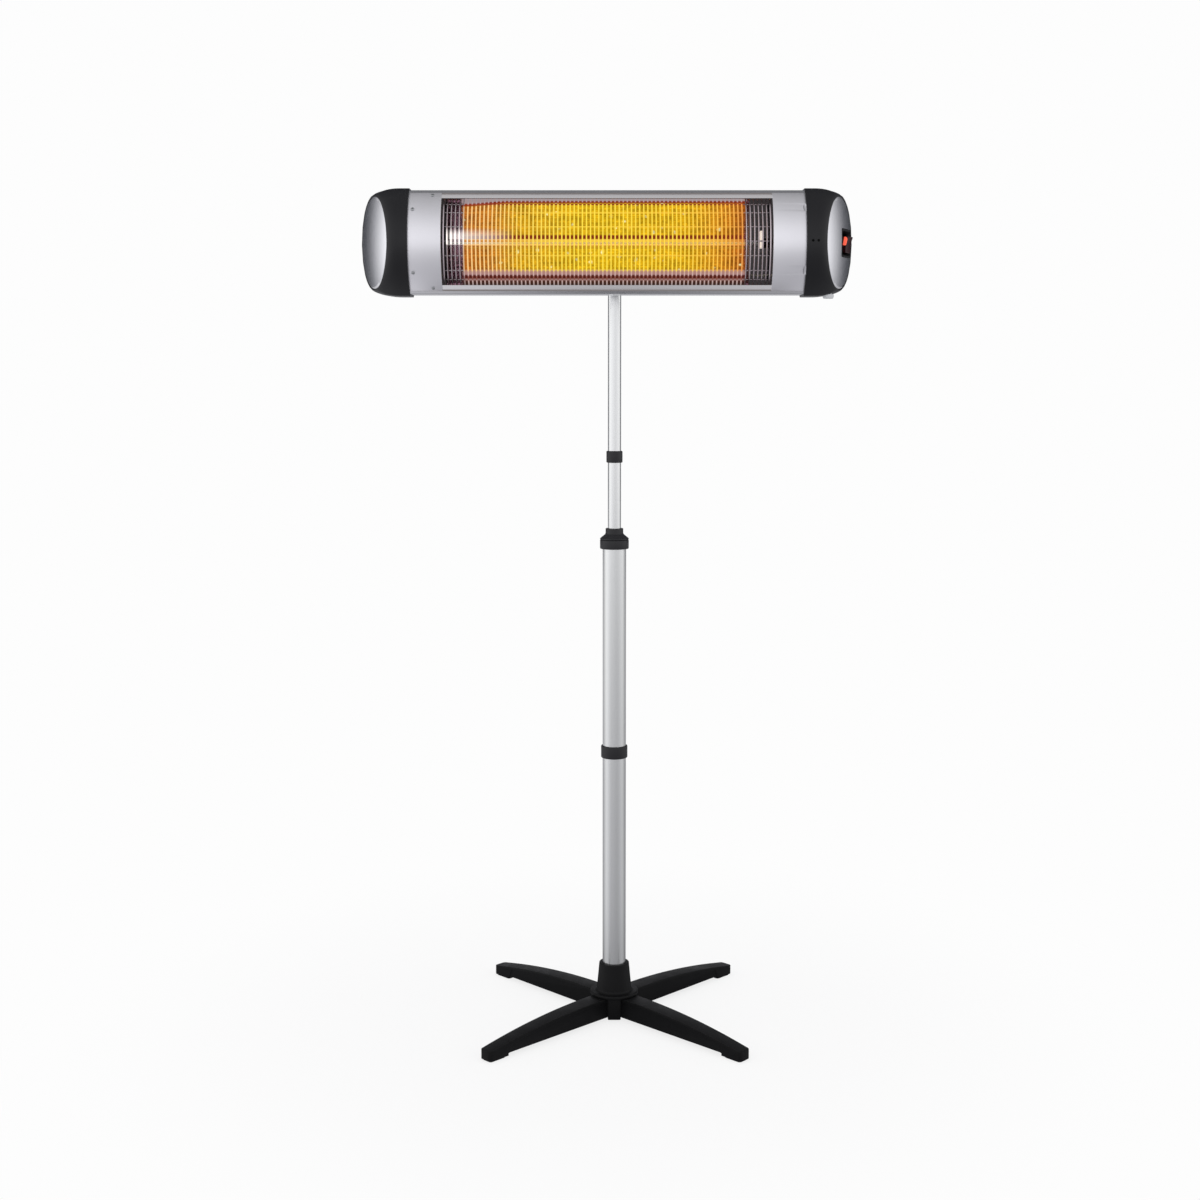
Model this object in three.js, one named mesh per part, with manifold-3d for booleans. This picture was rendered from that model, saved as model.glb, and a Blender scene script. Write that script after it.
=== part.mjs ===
// Electric patio heater: a quartz lamp head that tilts and turns on a telescoping pole with four legs.
// Lengths are millimetres and angles are degrees. +Z is up, the lamp looks along -Y, the floor is z = 0.
import * as THREE from "three";
import { mergeVertices } from "three/addons/utils/BufferGeometryUtils.js";
import Module from "manifold-3d";

const wasm = await Module();
wasm.setup();

// Fits shared by all pieces
const GAP = 0.3;
const OVERRUN = 2;
const WELD_TOLERANCE = 0.0001;

// Facets round a circle
const ROUND_SIDES = 20;
const SMALL_SIDES = 12;
const SCREW_SIDES = 8;
const CORNER_SEGMENTS = 3;
const EDGE_SEGMENTS = 2;

// Head body, seen from the end: flat back, walls, and a front that bulges
const BODY_LENGTH = 570;
const BODY_HEIGHT = 149;
const BODY_DEPTH = 92;
const BODY_BULGE = 36;
const BODY_WALL = 2;
const BODY_BACK_RADIUS = 12;
const BODY_EDGE_RADIUS = 5;
const OPENING_LENGTH = 475;
const OPENING_HEIGHT = 124;

// Stand
const POLE_OFFSET = 12;
const LEG_REACH = 268;
const HUB_HEIGHT = 30;
const GROUND_CLEARANCE = 6;
const THICK_TUBE_RADIUS = 18;
const THICK_TUBE_WALL = 1.5;
const LOWER_TUBE_LENGTH = 372;
const MIDDLE_TUBE_LENGTH = 318;
const THIN_TUBE_RADIUS = 10;
const THIN_TUBE_WALL = 1.2;
const INNER_TUBE_LENGTH = 568;
const UPPER_TUBE_LENGTH = 252;
const SHOWN_INNER_LENGTH = 100;

// Tilt joint
const HEAD_SETBACK = 48;
const HEAD_RISE = 35;
const TILT_BOLT_RADIUS = 4;

// Housing channel
const RAIL_REBATE_HEIGHT = 70.3;
const FASCIA_THICKNESS = 1.5;
const CAP_OVERLAP = 12;

// Guard in front of the lamp
const GUARD_INSET = 9;
const WIRE = 2;
const WIRE_PITCH = 5.9;
const GUARD_RAIL_HEIGHT = 4;
const GUARD_RAIL_EXTRA = 0.5;
const GUARD_END_WIDTH = 3;
const GUARD_END_INSET = 1;
const GUARD_SEGMENTS = 4;
const CROSS_ROD_PITCH = 20.5;
const EDGE_ROD_HEIGHT = 53.6;

// Reflector and lamp
const REFLECTOR_SHEET = 1;
const REFLECTOR_BACK = 16;
const REFLECTOR_MOUTH = 46;
const REFLECTOR_HALF_HEIGHT = 58;
const REFLECTOR_LEFT_INSET = 5.5;
const REFLECTOR_RIGHT_INSET = 31.5;
const LAMP_DEPTH = 40;
const LAMP_TUBE_RADIUS = 5.5;
const LAMP_TUBE_WALL = 1;
const LAMP_HIDDEN_LEFT = 10.5;
const LAMP_SHORT_RIGHT = 12;
const GLOW_LEFT_INSET = 32.5;
const GLOW_RIGHT_INSET = 35.5;
const FILAMENT_RADIUS = 2.2;
const CERAMIC_RADIUS = 10.5;
const CERAMIC_FLANGE = 5;
const CERAMIC_BODY_RADIUS = 7;
const CERAMIC_BODY_LENGTH = 10;
const LEAD_RADIUS = 1.6;

// Bulkheads, end caps and oval trims
const BULKHEAD_SHEET = 1.2;
const BULKHEAD_INSET = 13;
const CAP_WALL = 2.5;
const OVAL_REACH = 53;
const OVAL_DEPTH = 45;
const OVAL_SLANT = 29;
const OVAL_HALF_HEIGHT = 66.5;
const OVAL_HALF_WIDTH = 47;
const OVAL_RIM = 2;
const TRIM_RECESS = 2.5;
const TRIM_SHEET = 2;
const TRIM_DOME = 5;

// Switch in the right trim
const SWITCH_SHIFT = 17.5;
const BEZEL_WIDTH = 33.5;
const BEZEL_HEIGHT = 41;
const ROCKER_WIDTH = 23;
const ROCKER_HALF_HEIGHT = 12;
const ROCKER_REST_TILT = 10;

// Finishes
function finish(color, roughness, metalness) {
  return new THREE.MeshStandardMaterial({ color, roughness, metalness });
}

const FINISHES = {
  anodised: finish("#cfd0d4", 0.42, 0.85),
  satinSilver: finish("#b9bbc0", 0.4, 0.7),
  tubeAluminium: finish("#d8d9da", 0.35, 0.85),
  mirror: finish("#e6dccb", 0.12, 1),
  steel: finish("#8e9094", 0.4, 0.9),
  wireSteel: finish("#7c7874", 0.35, 0.9),
  blackPlastic: finish("#1d1d20", 0.55, 0),
  blackCap: finish("#232327", 0.45, 0),
  rubber: finish("#111112", 0.9, 0),
  ceramic: finish("#e8e2da", 0.6, 0),
  quartz: finish("#f4ecd8", 0.05, 0),
  glow: finish("#ffb51c", 0.6, 0),
  rockerRed: finish("#e4482c", 0.35, 0),
  glandGrey: finish("#c6c7c9", 0.5, 0),
  terminalWhite: finish("#dcdcd6", 0.5, 0),
  leadSleeve: finish("#c9c4b4", 0.7, 0),
};

// Closed bodies

function signedVolume(geometry) {
  const point = geometry.getAttribute("position");
  const index = geometry.getIndex();
  const corner = [new THREE.Vector3(), new THREE.Vector3(), new THREE.Vector3()];
  let volume = 0;
  for (let i = 0; i < index.count; i += 3) {
    corner.forEach((vector, k) => vector.fromBufferAttribute(point, index.getX(i + k)));
    volume += corner[0].dot(corner[1].clone().cross(corner[2]));
  }
  return volume;
}

// Welds shared corners, drops flat triangles and turns the faces outwards
function closed(geometry) {
  const bare = geometry.clone();
  bare.deleteAttribute("normal");
  bare.deleteAttribute("uv");
  const welded = mergeVertices(bare, WELD_TOLERANCE);
  const source = welded.getIndex().array;
  const kept = [];
  for (let i = 0; i < source.length; i += 3) {
    const [a, b, c] = [source[i], source[i + 1], source[i + 2]];
    if (a !== b && b !== c && c !== a) kept.push(a, b, c);
  }
  welded.setIndex(kept);
  if (signedVolume(welded) < 0) welded.setIndex(kept.reverse());
  return welded;
}

function toSolid(geometry) {
  const body = closed(geometry);
  const vertProperties = new Float32Array(body.getAttribute("position").array);
  const triVerts = new Uint32Array(body.getIndex().array);
  return new wasm.Manifold(new wasm.Mesh({ numProp: 3, vertProperties, triVerts }));
}

function toGeometry(solid) {
  const mesh = solid.getMesh();
  const geometry = new THREE.BufferGeometry();
  geometry.setAttribute("position", new THREE.BufferAttribute(new Float32Array(mesh.vertProperties), 3));
  geometry.setIndex(new THREE.BufferAttribute(new Uint32Array(mesh.triVerts), 1));
  return geometry;
}

function join(...geometries) {
  return toGeometry(geometries.map(toSolid).reduce((whole, next) => whole.add(next)));
}

function cut(geometry, ...tools) {
  return toGeometry(tools.map(toSolid).reduce((whole, next) => whole.subtract(next), toSolid(geometry)));
}

function common(first, second) {
  return toGeometry(toSolid(first).intersect(toSolid(second)));
}

// Shapes

// A profile of [radius, height] pairs turned about +Z; it closes on itself or on the axis
function turned(profile, sides = ROUND_SIDES) {
  const points = profile.map(([radius, height]) => new THREE.Vector2(radius, height));
  if (profile[0][0] > 0 || profile.at(-1)[0] > 0) points.push(points[0].clone());
  return new THREE.LatheGeometry(points, sides).rotateX(Math.PI / 2);
}

function ring(innerRadius, outerRadius, bottom, top, sides = ROUND_SIDES) {
  const section = [[innerRadius, bottom], [outerRadius, bottom], [outerRadius, top], [innerRadius, top]];
  return turned(section, sides);
}

function rod(radius, bottom, top, sides = ROUND_SIDES) {
  return turned([[0, bottom], [radius, bottom], [radius, top], [0, top]], sides);
}

function box(x0, x1, y0, y1, z0, z1) {
  const geometry = new THREE.BoxGeometry(x1 - x0, y1 - y0, z1 - z0);
  return geometry.translate((x0 + x1) / 2, (y0 + y1) / 2, (z0 + z1) / 2);
}

function shapeOf(points) {
  return new THREE.Shape(points.map(([x, y]) => new THREE.Vector2(x, y)));
}

// Points of a circular arc, both ends included; angles in radians
function arc(centreX, centreY, radius, from, to, segments) {
  return Array.from({ length: segments + 1 }, (_, i) => {
    const angle = from + ((to - from) * i) / segments;
    return [centreX + radius * Math.cos(angle), centreY + radius * Math.sin(angle)];
  });
}

// A head section, drawn as [forward, up], pulled along X from x0 to x1
function alongX(points, x0, x1) {
  const geometry = new THREE.ExtrudeGeometry(shapeOf(points), { depth: x1 - x0, bevelEnabled: false });
  const forward = new THREE.Vector3(0, -1, 0);
  const up = new THREE.Vector3(0, 0, 1);
  const sideways = new THREE.Vector3(-1, 0, 0);
  geometry.applyMatrix4(new THREE.Matrix4().makeBasis(forward, up, sideways));
  return geometry.translate(x1, 0, 0);
}

function alongZ(points, bottom, top) {
  const geometry = new THREE.ExtrudeGeometry(shapeOf(points), { depth: top - bottom, bevelEnabled: false });
  return geometry.translate(0, 0, bottom);
}

// Turns a body made about +Z so that its axis lies along +X
const lieAlongX = (geometry) => geometry.rotateY(Math.PI / 2);

const mirrored = (geometry) => geometry.clone().scale(-1, 1, 1);

// Joins rings of points into a skin and closes both ends on their middles
function loft(rings) {
  const count = rings[0].length;
  const middle = (points) => points.reduce((sum, p) => sum.add(p), new THREE.Vector3()).divideScalar(count);
  const points = [...rings.flat(), middle(rings[0]), middle(rings.at(-1))];
  const index = [];
  for (let i = 0; i < count; i++) {
    const next = (i + 1) % count;
    for (let r = 0; r + 1 < rings.length; r++) {
      const [a, b] = [r * count + i, r * count + next];
      index.push(a, b, b + count, a, b + count, a + count);
    }
    const last = (rings.length - 1) * count;
    index.push(points.length - 2, next, i, points.length - 1, last + i, last + next);
  }
  const geometry = new THREE.BufferGeometry().setFromPoints(points);
  geometry.setIndex(index);
  return geometry;
}

function part(name, geometry, material) {
  const mesh = new THREE.Mesh(closed(geometry), material.clone());
  mesh.name = name;
  return mesh;
}

// Heights of the stand, each seated on the one below

const PAD = { thickness: 2, length: 30, width: 18, cornerRadius: 4, cornerSegments: 2 };
const SOCKET = {
  flangeRadius: 37.5, flangeHeight: 3.7, baseRadius: 26, topRadius: 23, height: 48.7, floor: 8, edge: 1,
};
const THICK_JOINT = { band: 2.35, bandHeight: 19, web: 2.4, spigot: 32 };
const THIN_JOINT = { band: 2.3, bandHeight: 18, web: 4, spigot: 24, bore: 5.5 };
const COLLAR = {
  skirtRadius: 22, skirtHeight: 14, web: 8.1, sleeve: 48,
  spigotRadius: 15, spigotHeight: 5.5, bore: 10.4, edge: 1,
};
const NUT = { shoulderHeight: 1.2, coneHeight: 8, neckRadius: 13.5, height: 17, lip: 1.5, recessTop: 5.8 };
const KNUCKLE = { spigot: 22, shoulder: 4, width: 12, radius: 11, drop: 21.4, neckInset: 4 };
const INNER_PLUG = { head: 3.2, edge: 1, shank: 16 };

const hubTop = GROUND_CLEARANCE + HUB_HEIGHT;
const socketBottom = hubTop + GAP;
const lowerTubeBottom = socketBottom + SOCKET.floor + GAP;
const lowerTubeTop = lowerTubeBottom + LOWER_TUBE_LENGTH;
const thickJointHeight = lowerTubeTop + GAP + THICK_JOINT.web / 2;
const middleTubeBottom = thickJointHeight + THICK_JOINT.web / 2 + GAP;
const middleTubeTop = middleTubeBottom + MIDDLE_TUBE_LENGTH;
const collarTop = middleTubeTop + GAP + COLLAR.web;
const nutBottom = collarTop + GAP;
const nutTop = nutBottom + NUT.height;
const thinBandBottom = nutTop + SHOWN_INNER_LENGTH;
const thinJointHeight = thinBandBottom + THIN_JOINT.bandHeight / 2;
const innerTubeTop = thinJointHeight - THIN_JOINT.web / 2 - GAP;
const innerTubeBottom = innerTubeTop - INNER_TUBE_LENGTH;
const upperTubeBottom = thinJointHeight + THIN_JOINT.web / 2 + GAP;
const upperTubeTop = upperTubeBottom + UPPER_TUBE_LENGTH;
const shoulderBottom = upperTubeTop + GAP;
const pivotHeight = shoulderBottom + KNUCKLE.shoulder + KNUCKLE.drop;
const headHeight = pivotHeight + HEAD_RISE;
const thickBore = THICK_TUBE_RADIUS - THICK_TUBE_WALL;
const thinBore = THIN_TUBE_RADIUS - THIN_TUBE_WALL;

// Base

const LEG = {
  rootWidth: 29, tipWidth: 23, tipHeight: 17, crownStart: 50, wall: 2.5, footLength: 36, stepRadius: 4,
  toeRadius: 7, toeChamfer: 1.5, cornerRadius: 5, tongueLength: 13, tongueWidth: 19.4,
};
const HUB = { facet: 20, pocketWidth: 20, pocketDepth: 14, pocketRoof: 8, edge: 1.5 };
const CLAMP_PLATE = { radius: 25, thickness: 2.5 };
const BASE_BOLT = { radius: 4, headRadius: 9, headHeight: 1.7, length: 54 };
const FOOT_PLUG = { height: 20, boreDepth: 16 };

const hubLegFace = HUB.facet / Math.SQRT2 + LEG.rootWidth / 2;
const hubFacetFace = LEG.rootWidth / Math.SQRT2 + HUB.facet / 2;
const legRoot = hubLegFace + GAP;
const footStart = LEG_REACH - LEG.footLength;
const footBottom = PAD.thickness + GAP;
const clampPlateTop = GROUND_CLEARANCE - GAP;
const clampPlateBottom = clampPlateTop - CLAMP_PLATE.thickness;

// The crown of a leg: level by the hub, then a long arc down to the tip
function legCrown() {
  const reach = LEG_REACH - LEG.toeRadius - LEG.crownStart;
  const drop = hubTop - LEG.tipHeight;
  const radius = (reach * reach + drop * drop) / (2 * drop);
  const sweep = Math.asin(reach / radius);
  return arc(LEG.crownStart, hubTop - radius, radius, Math.PI / 2, Math.PI / 2 - sweep, 8);
}

function legSide() {
  const [toeRadius, stepRadius] = [LEG.toeRadius, LEG.stepRadius];
  const toe = arc(LEG_REACH - toeRadius, LEG.tipHeight - toeRadius, toeRadius, Math.PI / 2, 0, 4);
  const [stepX, stepZ] = [footStart - stepRadius, GROUND_CLEARANCE - stepRadius];
  const step = arc(stepX, stepZ, stepRadius, Math.PI / 2, THREE.MathUtils.degToRad(23), 3);
  return [
    [legRoot, hubTop], ...legCrown(), ...toe,
    [LEG_REACH, footBottom + LEG.toeChamfer], [LEG_REACH - LEG.toeChamfer, footBottom],
    [footStart, footBottom], ...step.reverse(), [legRoot, GROUND_CLEARANCE],
  ];
}

function legPlan() {
  const [root, tip, corner] = [LEG.rootWidth / 2, LEG.tipWidth / 2, LEG.cornerRadius];
  const end = LEG_REACH - corner;
  return [
    [legRoot - OVERRUN, -root], ...arc(end, corner - tip, corner, -Math.PI / 2, 0, 3),
    ...arc(end, tip - corner, corner, 0, Math.PI / 2, 3), [legRoot - OVERRUN, root],
  ];
}

// A side outline, drawn as [outward, up], pulled across the leg
function acrossLeg(points, halfWidth) {
  const geometry = new THREE.ExtrudeGeometry(shapeOf(points), { depth: 2 * halfWidth, bevelEnabled: false });
  return geometry.rotateX(Math.PI / 2).translate(0, halfWidth, 0);
}

// The hollow under a leg keeps a roof, side walls and the foot block
function legHollow() {
  const inside = [legRoot + LEG.wall, footStart - LEG.stepRadius - LEG.wall];
  const above = legCrown().filter(([outward]) => outward < inside[1]);
  const roof = above.map(([outward, up]) => [outward, up - LEG.wall]);
  const last = roof.at(-1)[1];
  const bottom = GROUND_CLEARANCE - OVERRUN;
  const points = [[inside[0], bottom], [inside[1], bottom], [inside[1], last], ...roof.reverse()];
  return acrossLeg([...points, [inside[0], hubTop - LEG.wall]], LEG.tipWidth / 2 - LEG.wall);
}

function leg(name, angle) {
  const body = common(
    acrossLeg(legSide(), LEG.rootWidth / 2 + OVERRUN),
    alongZ(legPlan(), footBottom - OVERRUN, hubTop + OVERRUN),
  );
  const tongue = box(
    legRoot - LEG.tongueLength, legRoot + LEG.wall, -LEG.tongueWidth / 2, LEG.tongueWidth / 2,
    GROUND_CLEARANCE, hubTop - HUB.pocketRoof - GAP,
  );
  const mesh = part(name, join(cut(body, legHollow()), tongue), FINISHES.blackPlastic);
  mesh.rotation.z = angle;
  return mesh;
}

function roundedRectangle(length, width, radius, segments) {
  const [x, y] = [length / 2 - radius, width / 2 - radius];
  const quarter = Math.PI / 2;
  const corners = [[x, y, 0], [-x, y, 1], [-x, -y, 2], [x, -y, 3]];
  return corners.flatMap(([cx, cy, turns]) =>
    arc(cx, cy, radius, turns * quarter, (turns + 1) * quarter, segments));
}

function footPad(name, angle) {
  const outline = roundedRectangle(PAD.length, PAD.width, PAD.cornerRadius, PAD.cornerSegments);
  const middle = (footStart + LEG_REACH) / 2;
  const mesh = part(name, alongZ(outline, 0, PAD.thickness).translate(middle, 0, 0), FINISHES.rubber);
  mesh.rotation.z = angle;
  return mesh;
}

// Eight sides: four that take the legs and four narrow facets between them
function baseHub() {
  const [half, face] = [HUB.facet / 2, hubFacetFace];
  const outline = [[face, -half], [face, half], [half, face], [-half, face]];
  const rest = [[-face, half], [-face, -half], [-half, -face], [half, -face]];
  const block = alongZ([...outline, ...rest], GROUND_CLEARANCE, hubTop);
  const pockets = [1, 3, 5, 7].map((eighth) =>
    box(
      hubLegFace - HUB.pocketDepth, hubLegFace + OVERRUN, -HUB.pocketWidth / 2, HUB.pocketWidth / 2,
      GROUND_CLEARANCE - OVERRUN, hubTop - HUB.pocketRoof,
    ).rotateZ((eighth * Math.PI) / 4));
  const boltHole = rod(BASE_BOLT.radius + GAP, GROUND_CLEARANCE - OVERRUN, hubTop + OVERRUN, SMALL_SIDES);
  return part("base_hub", cut(block, ...pockets, boltHole), FINISHES.blackPlastic);
}

function clampPlate() {
  const plate = ring(BASE_BOLT.radius + GAP, CLAMP_PLATE.radius, clampPlateBottom, clampPlateTop);
  return part("base_clamp_plate", plate, FINISHES.steel);
}

function baseBolt() {
  const top = clampPlateBottom - GAP;
  const bottom = top - BASE_BOLT.headHeight;
  const profile = [
    [0, bottom], [BASE_BOLT.headRadius, bottom], [BASE_BOLT.headRadius, top], [BASE_BOLT.radius, top],
    [BASE_BOLT.radius, top + BASE_BOLT.length], [0, top + BASE_BOLT.length],
  ];
  return part("base_bolt", turned(profile, SMALL_SIDES), FINISHES.steel);
}

function poleSocket() {
  const { flangeRadius, flangeHeight, baseRadius, topRadius, height, floor, edge } = SOCKET;
  const bore = THICK_TUBE_RADIUS + GAP;
  const hole = BASE_BOLT.radius + GAP;
  const profile = [
    [hole, 0], [flangeRadius, 0], [flangeRadius, flangeHeight - edge], [flangeRadius - edge, flangeHeight],
    [baseRadius, flangeHeight], [topRadius, height - edge], [topRadius - edge, height], [bore, height],
    [bore, floor], [hole, floor],
  ];
  return part("pole_socket", turned(profile).translate(0, 0, socketBottom), FINISHES.blackPlastic);
}

function footPlug() {
  const bore = BASE_BOLT.radius + GAP;
  const outer = thickBore - GAP;
  const profile = [
    [bore, 0], [outer, 0], [outer, FOOT_PLUG.height], [0, FOOT_PLUG.height],
    [0, FOOT_PLUG.boreDepth], [bore, FOOT_PLUG.boreDepth],
  ];
  const plug = turned(profile).translate(0, 0, lowerTubeBottom);
  return part("pole_foot_plug", plug, FINISHES.blackPlastic);
}

// Pole

function thickTube(name, bottom, length) {
  return part(name, ring(thickBore, THICK_TUBE_RADIUS, bottom, bottom + length), FINISHES.tubeAluminium);
}

function thinTube(name, bottom, length) {
  return part(name, ring(thinBore, THIN_TUBE_RADIUS, bottom, bottom + length), FINISHES.tubeAluminium);
}

// A sleeve that joins two tubes end to end: outer band, web between the tube ends, spigots inside both
function tubeJoint(name, joint, tubeRadius, tubeBore, bore, height) {
  const band = tubeRadius + joint.band;
  const pocket = tubeRadius + GAP;
  const spigot = tubeBore - GAP;
  const [bandHalf, webHalf] = [joint.bandHeight / 2, joint.web / 2];
  const lower = [
    [bore, -joint.spigot], [spigot, -joint.spigot], [spigot, -webHalf], [pocket, -webHalf],
    [pocket, -bandHalf], [band, -bandHalf],
  ];
  const upper = lower.map(([radius, z]) => [radius, -z]).reverse();
  return part(name, turned([...lower, ...upper]).translate(0, 0, height), FINISHES.blackPlastic);
}

function collar() {
  const sleeve = thickBore - GAP;
  const pocket = THICK_TUBE_RADIUS + GAP;
  const profile = [
    [COLLAR.bore, -COLLAR.web - COLLAR.sleeve], [sleeve, -COLLAR.web - COLLAR.sleeve],
    [sleeve, -COLLAR.web], [pocket, -COLLAR.web], [pocket, -COLLAR.skirtHeight],
    [COLLAR.skirtRadius, -COLLAR.skirtHeight], [COLLAR.skirtRadius, -COLLAR.edge],
    [COLLAR.skirtRadius - COLLAR.edge, 0], [COLLAR.spigotRadius, 0],
    [COLLAR.spigotRadius, COLLAR.spigotHeight], [COLLAR.bore, COLLAR.spigotHeight],
  ];
  return part("collar_base", turned(profile).translate(0, 0, collarTop), FINISHES.blackPlastic);
}

function lockNut() {
  const [outer, neck, bore] = [COLLAR.skirtRadius, NUT.neckRadius, COLLAR.bore];
  const cavity = COLLAR.spigotRadius + GAP;
  const colletRoom = neck - NUT.lip;
  const profile = [
    [cavity, 0], [outer, 0], [outer, NUT.shoulderHeight], [neck, NUT.coneHeight], [neck, NUT.height],
    [bore, NUT.height], [bore, NUT.height - NUT.lip], [colletRoom, NUT.height - NUT.lip],
    [colletRoom, NUT.recessTop], [cavity, NUT.recessTop],
  ];
  return part("lock_nut", turned(profile).translate(0, 0, nutBottom), FINISHES.blackPlastic);
}

// A split ring that the nut squeezes on to the inner pole
function clampCollet() {
  const outer = NUT.neckRadius - NUT.lip - GAP;
  const inner = THIN_TUBE_RADIUS + GAP;
  const bottom = collarTop + COLLAR.spigotHeight + GAP;
  const top = nutTop - NUT.lip - GAP;
  const slit = box(0, outer + OVERRUN, -GAP, GAP, bottom - OVERRUN, top + OVERRUN);
  return part("clamp_collet", cut(ring(inner, outer, bottom, top), slit), FINISHES.terminalWhite);
}

function innerPlug() {
  const { head, edge, shank } = INNER_PLUG;
  const top = innerTubeBottom - GAP;
  const profile = [
    [0, top - head], [THIN_TUBE_RADIUS - edge, top - head], [THIN_TUBE_RADIUS, top - head + edge],
    [THIN_TUBE_RADIUS, top], [thinBore - GAP, top], [thinBore - GAP, top + shank], [0, top + shank],
  ];
  return part("inner_pole_plug", turned(profile), FINISHES.blackPlastic);
}

// Tilt joint, with its hinge line along X through the pole axis

function knuckle() {
  const plug = turned([
    [0, shoulderBottom - KNUCKLE.spigot], [thinBore - GAP, shoulderBottom - KNUCKLE.spigot],
    [thinBore - GAP, shoulderBottom], [THIN_TUBE_RADIUS, shoulderBottom],
    [THIN_TUBE_RADIUS, shoulderBottom + KNUCKLE.shoulder], [0, shoulderBottom + KNUCKLE.shoulder],
  ]);
  const foot = shoulderBottom + KNUCKLE.shoulder / 2 - pivotHeight;
  const halfWidth = THIN_TUBE_RADIUS - KNUCKLE.neckInset;
  const eye = [[-halfWidth, foot], [halfWidth, foot], ...arc(0, 0, KNUCKLE.radius, 0, Math.PI, 8)];
  const tongue = alongX(eye, -KNUCKLE.width / 2, KNUCKLE.width / 2).translate(0, 0, pivotHeight);
  return part("pole_top_knuckle", cut(join(plug, tongue), boltTool()), FINISHES.blackPlastic);
}

// Clears the tilt bolt through whatever lies on the hinge line
function boltTool() {
  const reach = KNUCKLE.width / 2 + BRACKET.ear + GAP + OVERRUN;
  return lieAlongX(rod(TILT_BOLT_RADIUS + GAP, -reach, reach, SMALL_SIDES)).translate(0, 0, pivotHeight);
}

const BRACKET = { ear: 3, base: 3, halfWidth: 30, below: 12, above: 50, screwSpread: 20 };
const BRACKET_SCREW = { radius: 2, headRadius: 4.5, headHeight: 2.5, length: 10 };
const TILT_BOLT = { headRadius: 8, headLength: 5, knobReach: 12 };
const KNOB = { radius: 17, lobe: 1.6, lobes: 6, length: 18, boreDepth: 13, facets: 36 };

function tiltBracket() {
  const back = HEAD_SETBACK - GAP;
  const face = back - BRACKET.base;
  const inner = KNUCKLE.width / 2 + GAP;
  const outer = inner + BRACKET.ear;
  const eye = arc(0, 0, KNUCKLE.radius, Math.PI / 2, (3 * Math.PI) / 2, 8);
  const earEnd = face + BRACKET.base / 2;
  const outline = [...eye, [earEnd, -KNUCKLE.radius], [earEnd, KNUCKLE.radius]];
  const ears = [alongX(outline, inner, outer), alongX(outline, -outer, -inner)];
  const plate = box(-BRACKET.halfWidth, BRACKET.halfWidth, -back, -face, -BRACKET.below, BRACKET.above);
  const holes = [-1, 1].map((side) =>
    bracketScrewHole().translate(side * BRACKET.screwSpread, 0, HEAD_RISE));
  const body = cut(join(plate, ...ears), ...holes).translate(0, 0, pivotHeight);
  return part("tilt_bracket", cut(body, boltTool()), FINISHES.steel);
}

function bracketScrewHole() {
  const [from, to] = [HEAD_SETBACK - BRACKET.base - OVERRUN, HEAD_SETBACK + BODY_WALL + OVERRUN];
  return rod(BRACKET_SCREW.radius + GAP, from, to, SCREW_SIDES).rotateX(Math.PI / 2);
}

function screw({ radius, headRadius, headHeight, length }) {
  return turned([
    [0, -length], [radius, -length], [radius, 0], [headRadius, 0],
    [headRadius, headHeight / 2], [headRadius / 2, headHeight], [0, headHeight],
  ], SCREW_SIDES);
}

function bracketScrew(name, side) {
  const mesh = part(name, screw(BRACKET_SCREW).rotateX(-Math.PI / 2), FINISHES.steel);
  const face = HEAD_SETBACK - GAP - BRACKET.base - GAP;
  mesh.position.set(side * BRACKET.screwSpread, -face, pivotHeight + HEAD_RISE);
  return mesh;
}

function tiltBolt() {
  const ear = KNUCKLE.width / 2 + GAP + BRACKET.ear + GAP;
  const bolt = turned([
    [0, -ear - TILT_BOLT.headLength], [TILT_BOLT.headRadius, -ear - TILT_BOLT.headLength],
    [TILT_BOLT.headRadius, -ear], [TILT_BOLT_RADIUS, -ear], [TILT_BOLT_RADIUS, ear + TILT_BOLT.knobReach],
    [0, ear + TILT_BOLT.knobReach],
  ], SMALL_SIDES);
  return part("tilt_bolt", lieAlongX(bolt).translate(0, 0, pivotHeight), FINISHES.steel);
}

function tiltKnob() {
  const outline = Array.from({ length: KNOB.facets }, (_, i) => {
    const angle = (i * 2 * Math.PI) / KNOB.facets;
    const radius = KNOB.radius + KNOB.lobe * Math.cos(KNOB.lobes * angle);
    return [radius * Math.cos(angle), radius * Math.sin(angle)];
  });
  const start = KNUCKLE.width / 2 + GAP + BRACKET.ear + GAP;
  const bore = lieAlongX(rod(TILT_BOLT_RADIUS + GAP, start - OVERRUN, start + KNOB.boreDepth, SMALL_SIDES));
  const knob = cut(alongX(outline, start, start + KNOB.length), bore);
  return part("tilt_knob", knob.translate(0, 0, pivotHeight), FINISHES.blackPlastic);
}

// Head section, drawn as [forward, up] from the middle of the back

const halfBody = BODY_LENGTH / 2;
const halfOpening = OPENING_LENGTH / 2;
const halfHeight = BODY_HEIGHT / 2;
const frontRadius = (halfHeight ** 2 + BODY_BULGE ** 2) / (2 * BODY_BULGE);
const frontCentre = BODY_DEPTH - frontRadius;

// How far forward an arc about the front's centre lies at a height
const arcForward = (radius, height) => frontCentre + Math.sqrt(radius ** 2 - height ** 2);

const edgeCentreHeight = halfHeight - BODY_EDGE_RADIUS;
const edgeCentreForward = arcForward(frontRadius - BODY_EDGE_RADIUS, edgeCentreHeight);
const edgeAngle = Math.atan2(edgeCentreHeight, edgeCentreForward - frontCentre);
const frontArc = (radius, fromHeight, toHeight, segments) =>
  arc(frontCentre, 0, radius, Math.asin(fromHeight / radius), Math.asin(toHeight / radius), segments);

const upsideDown = (points) => points.map(([forward, up]) => [forward, -up]).reverse();

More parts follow.
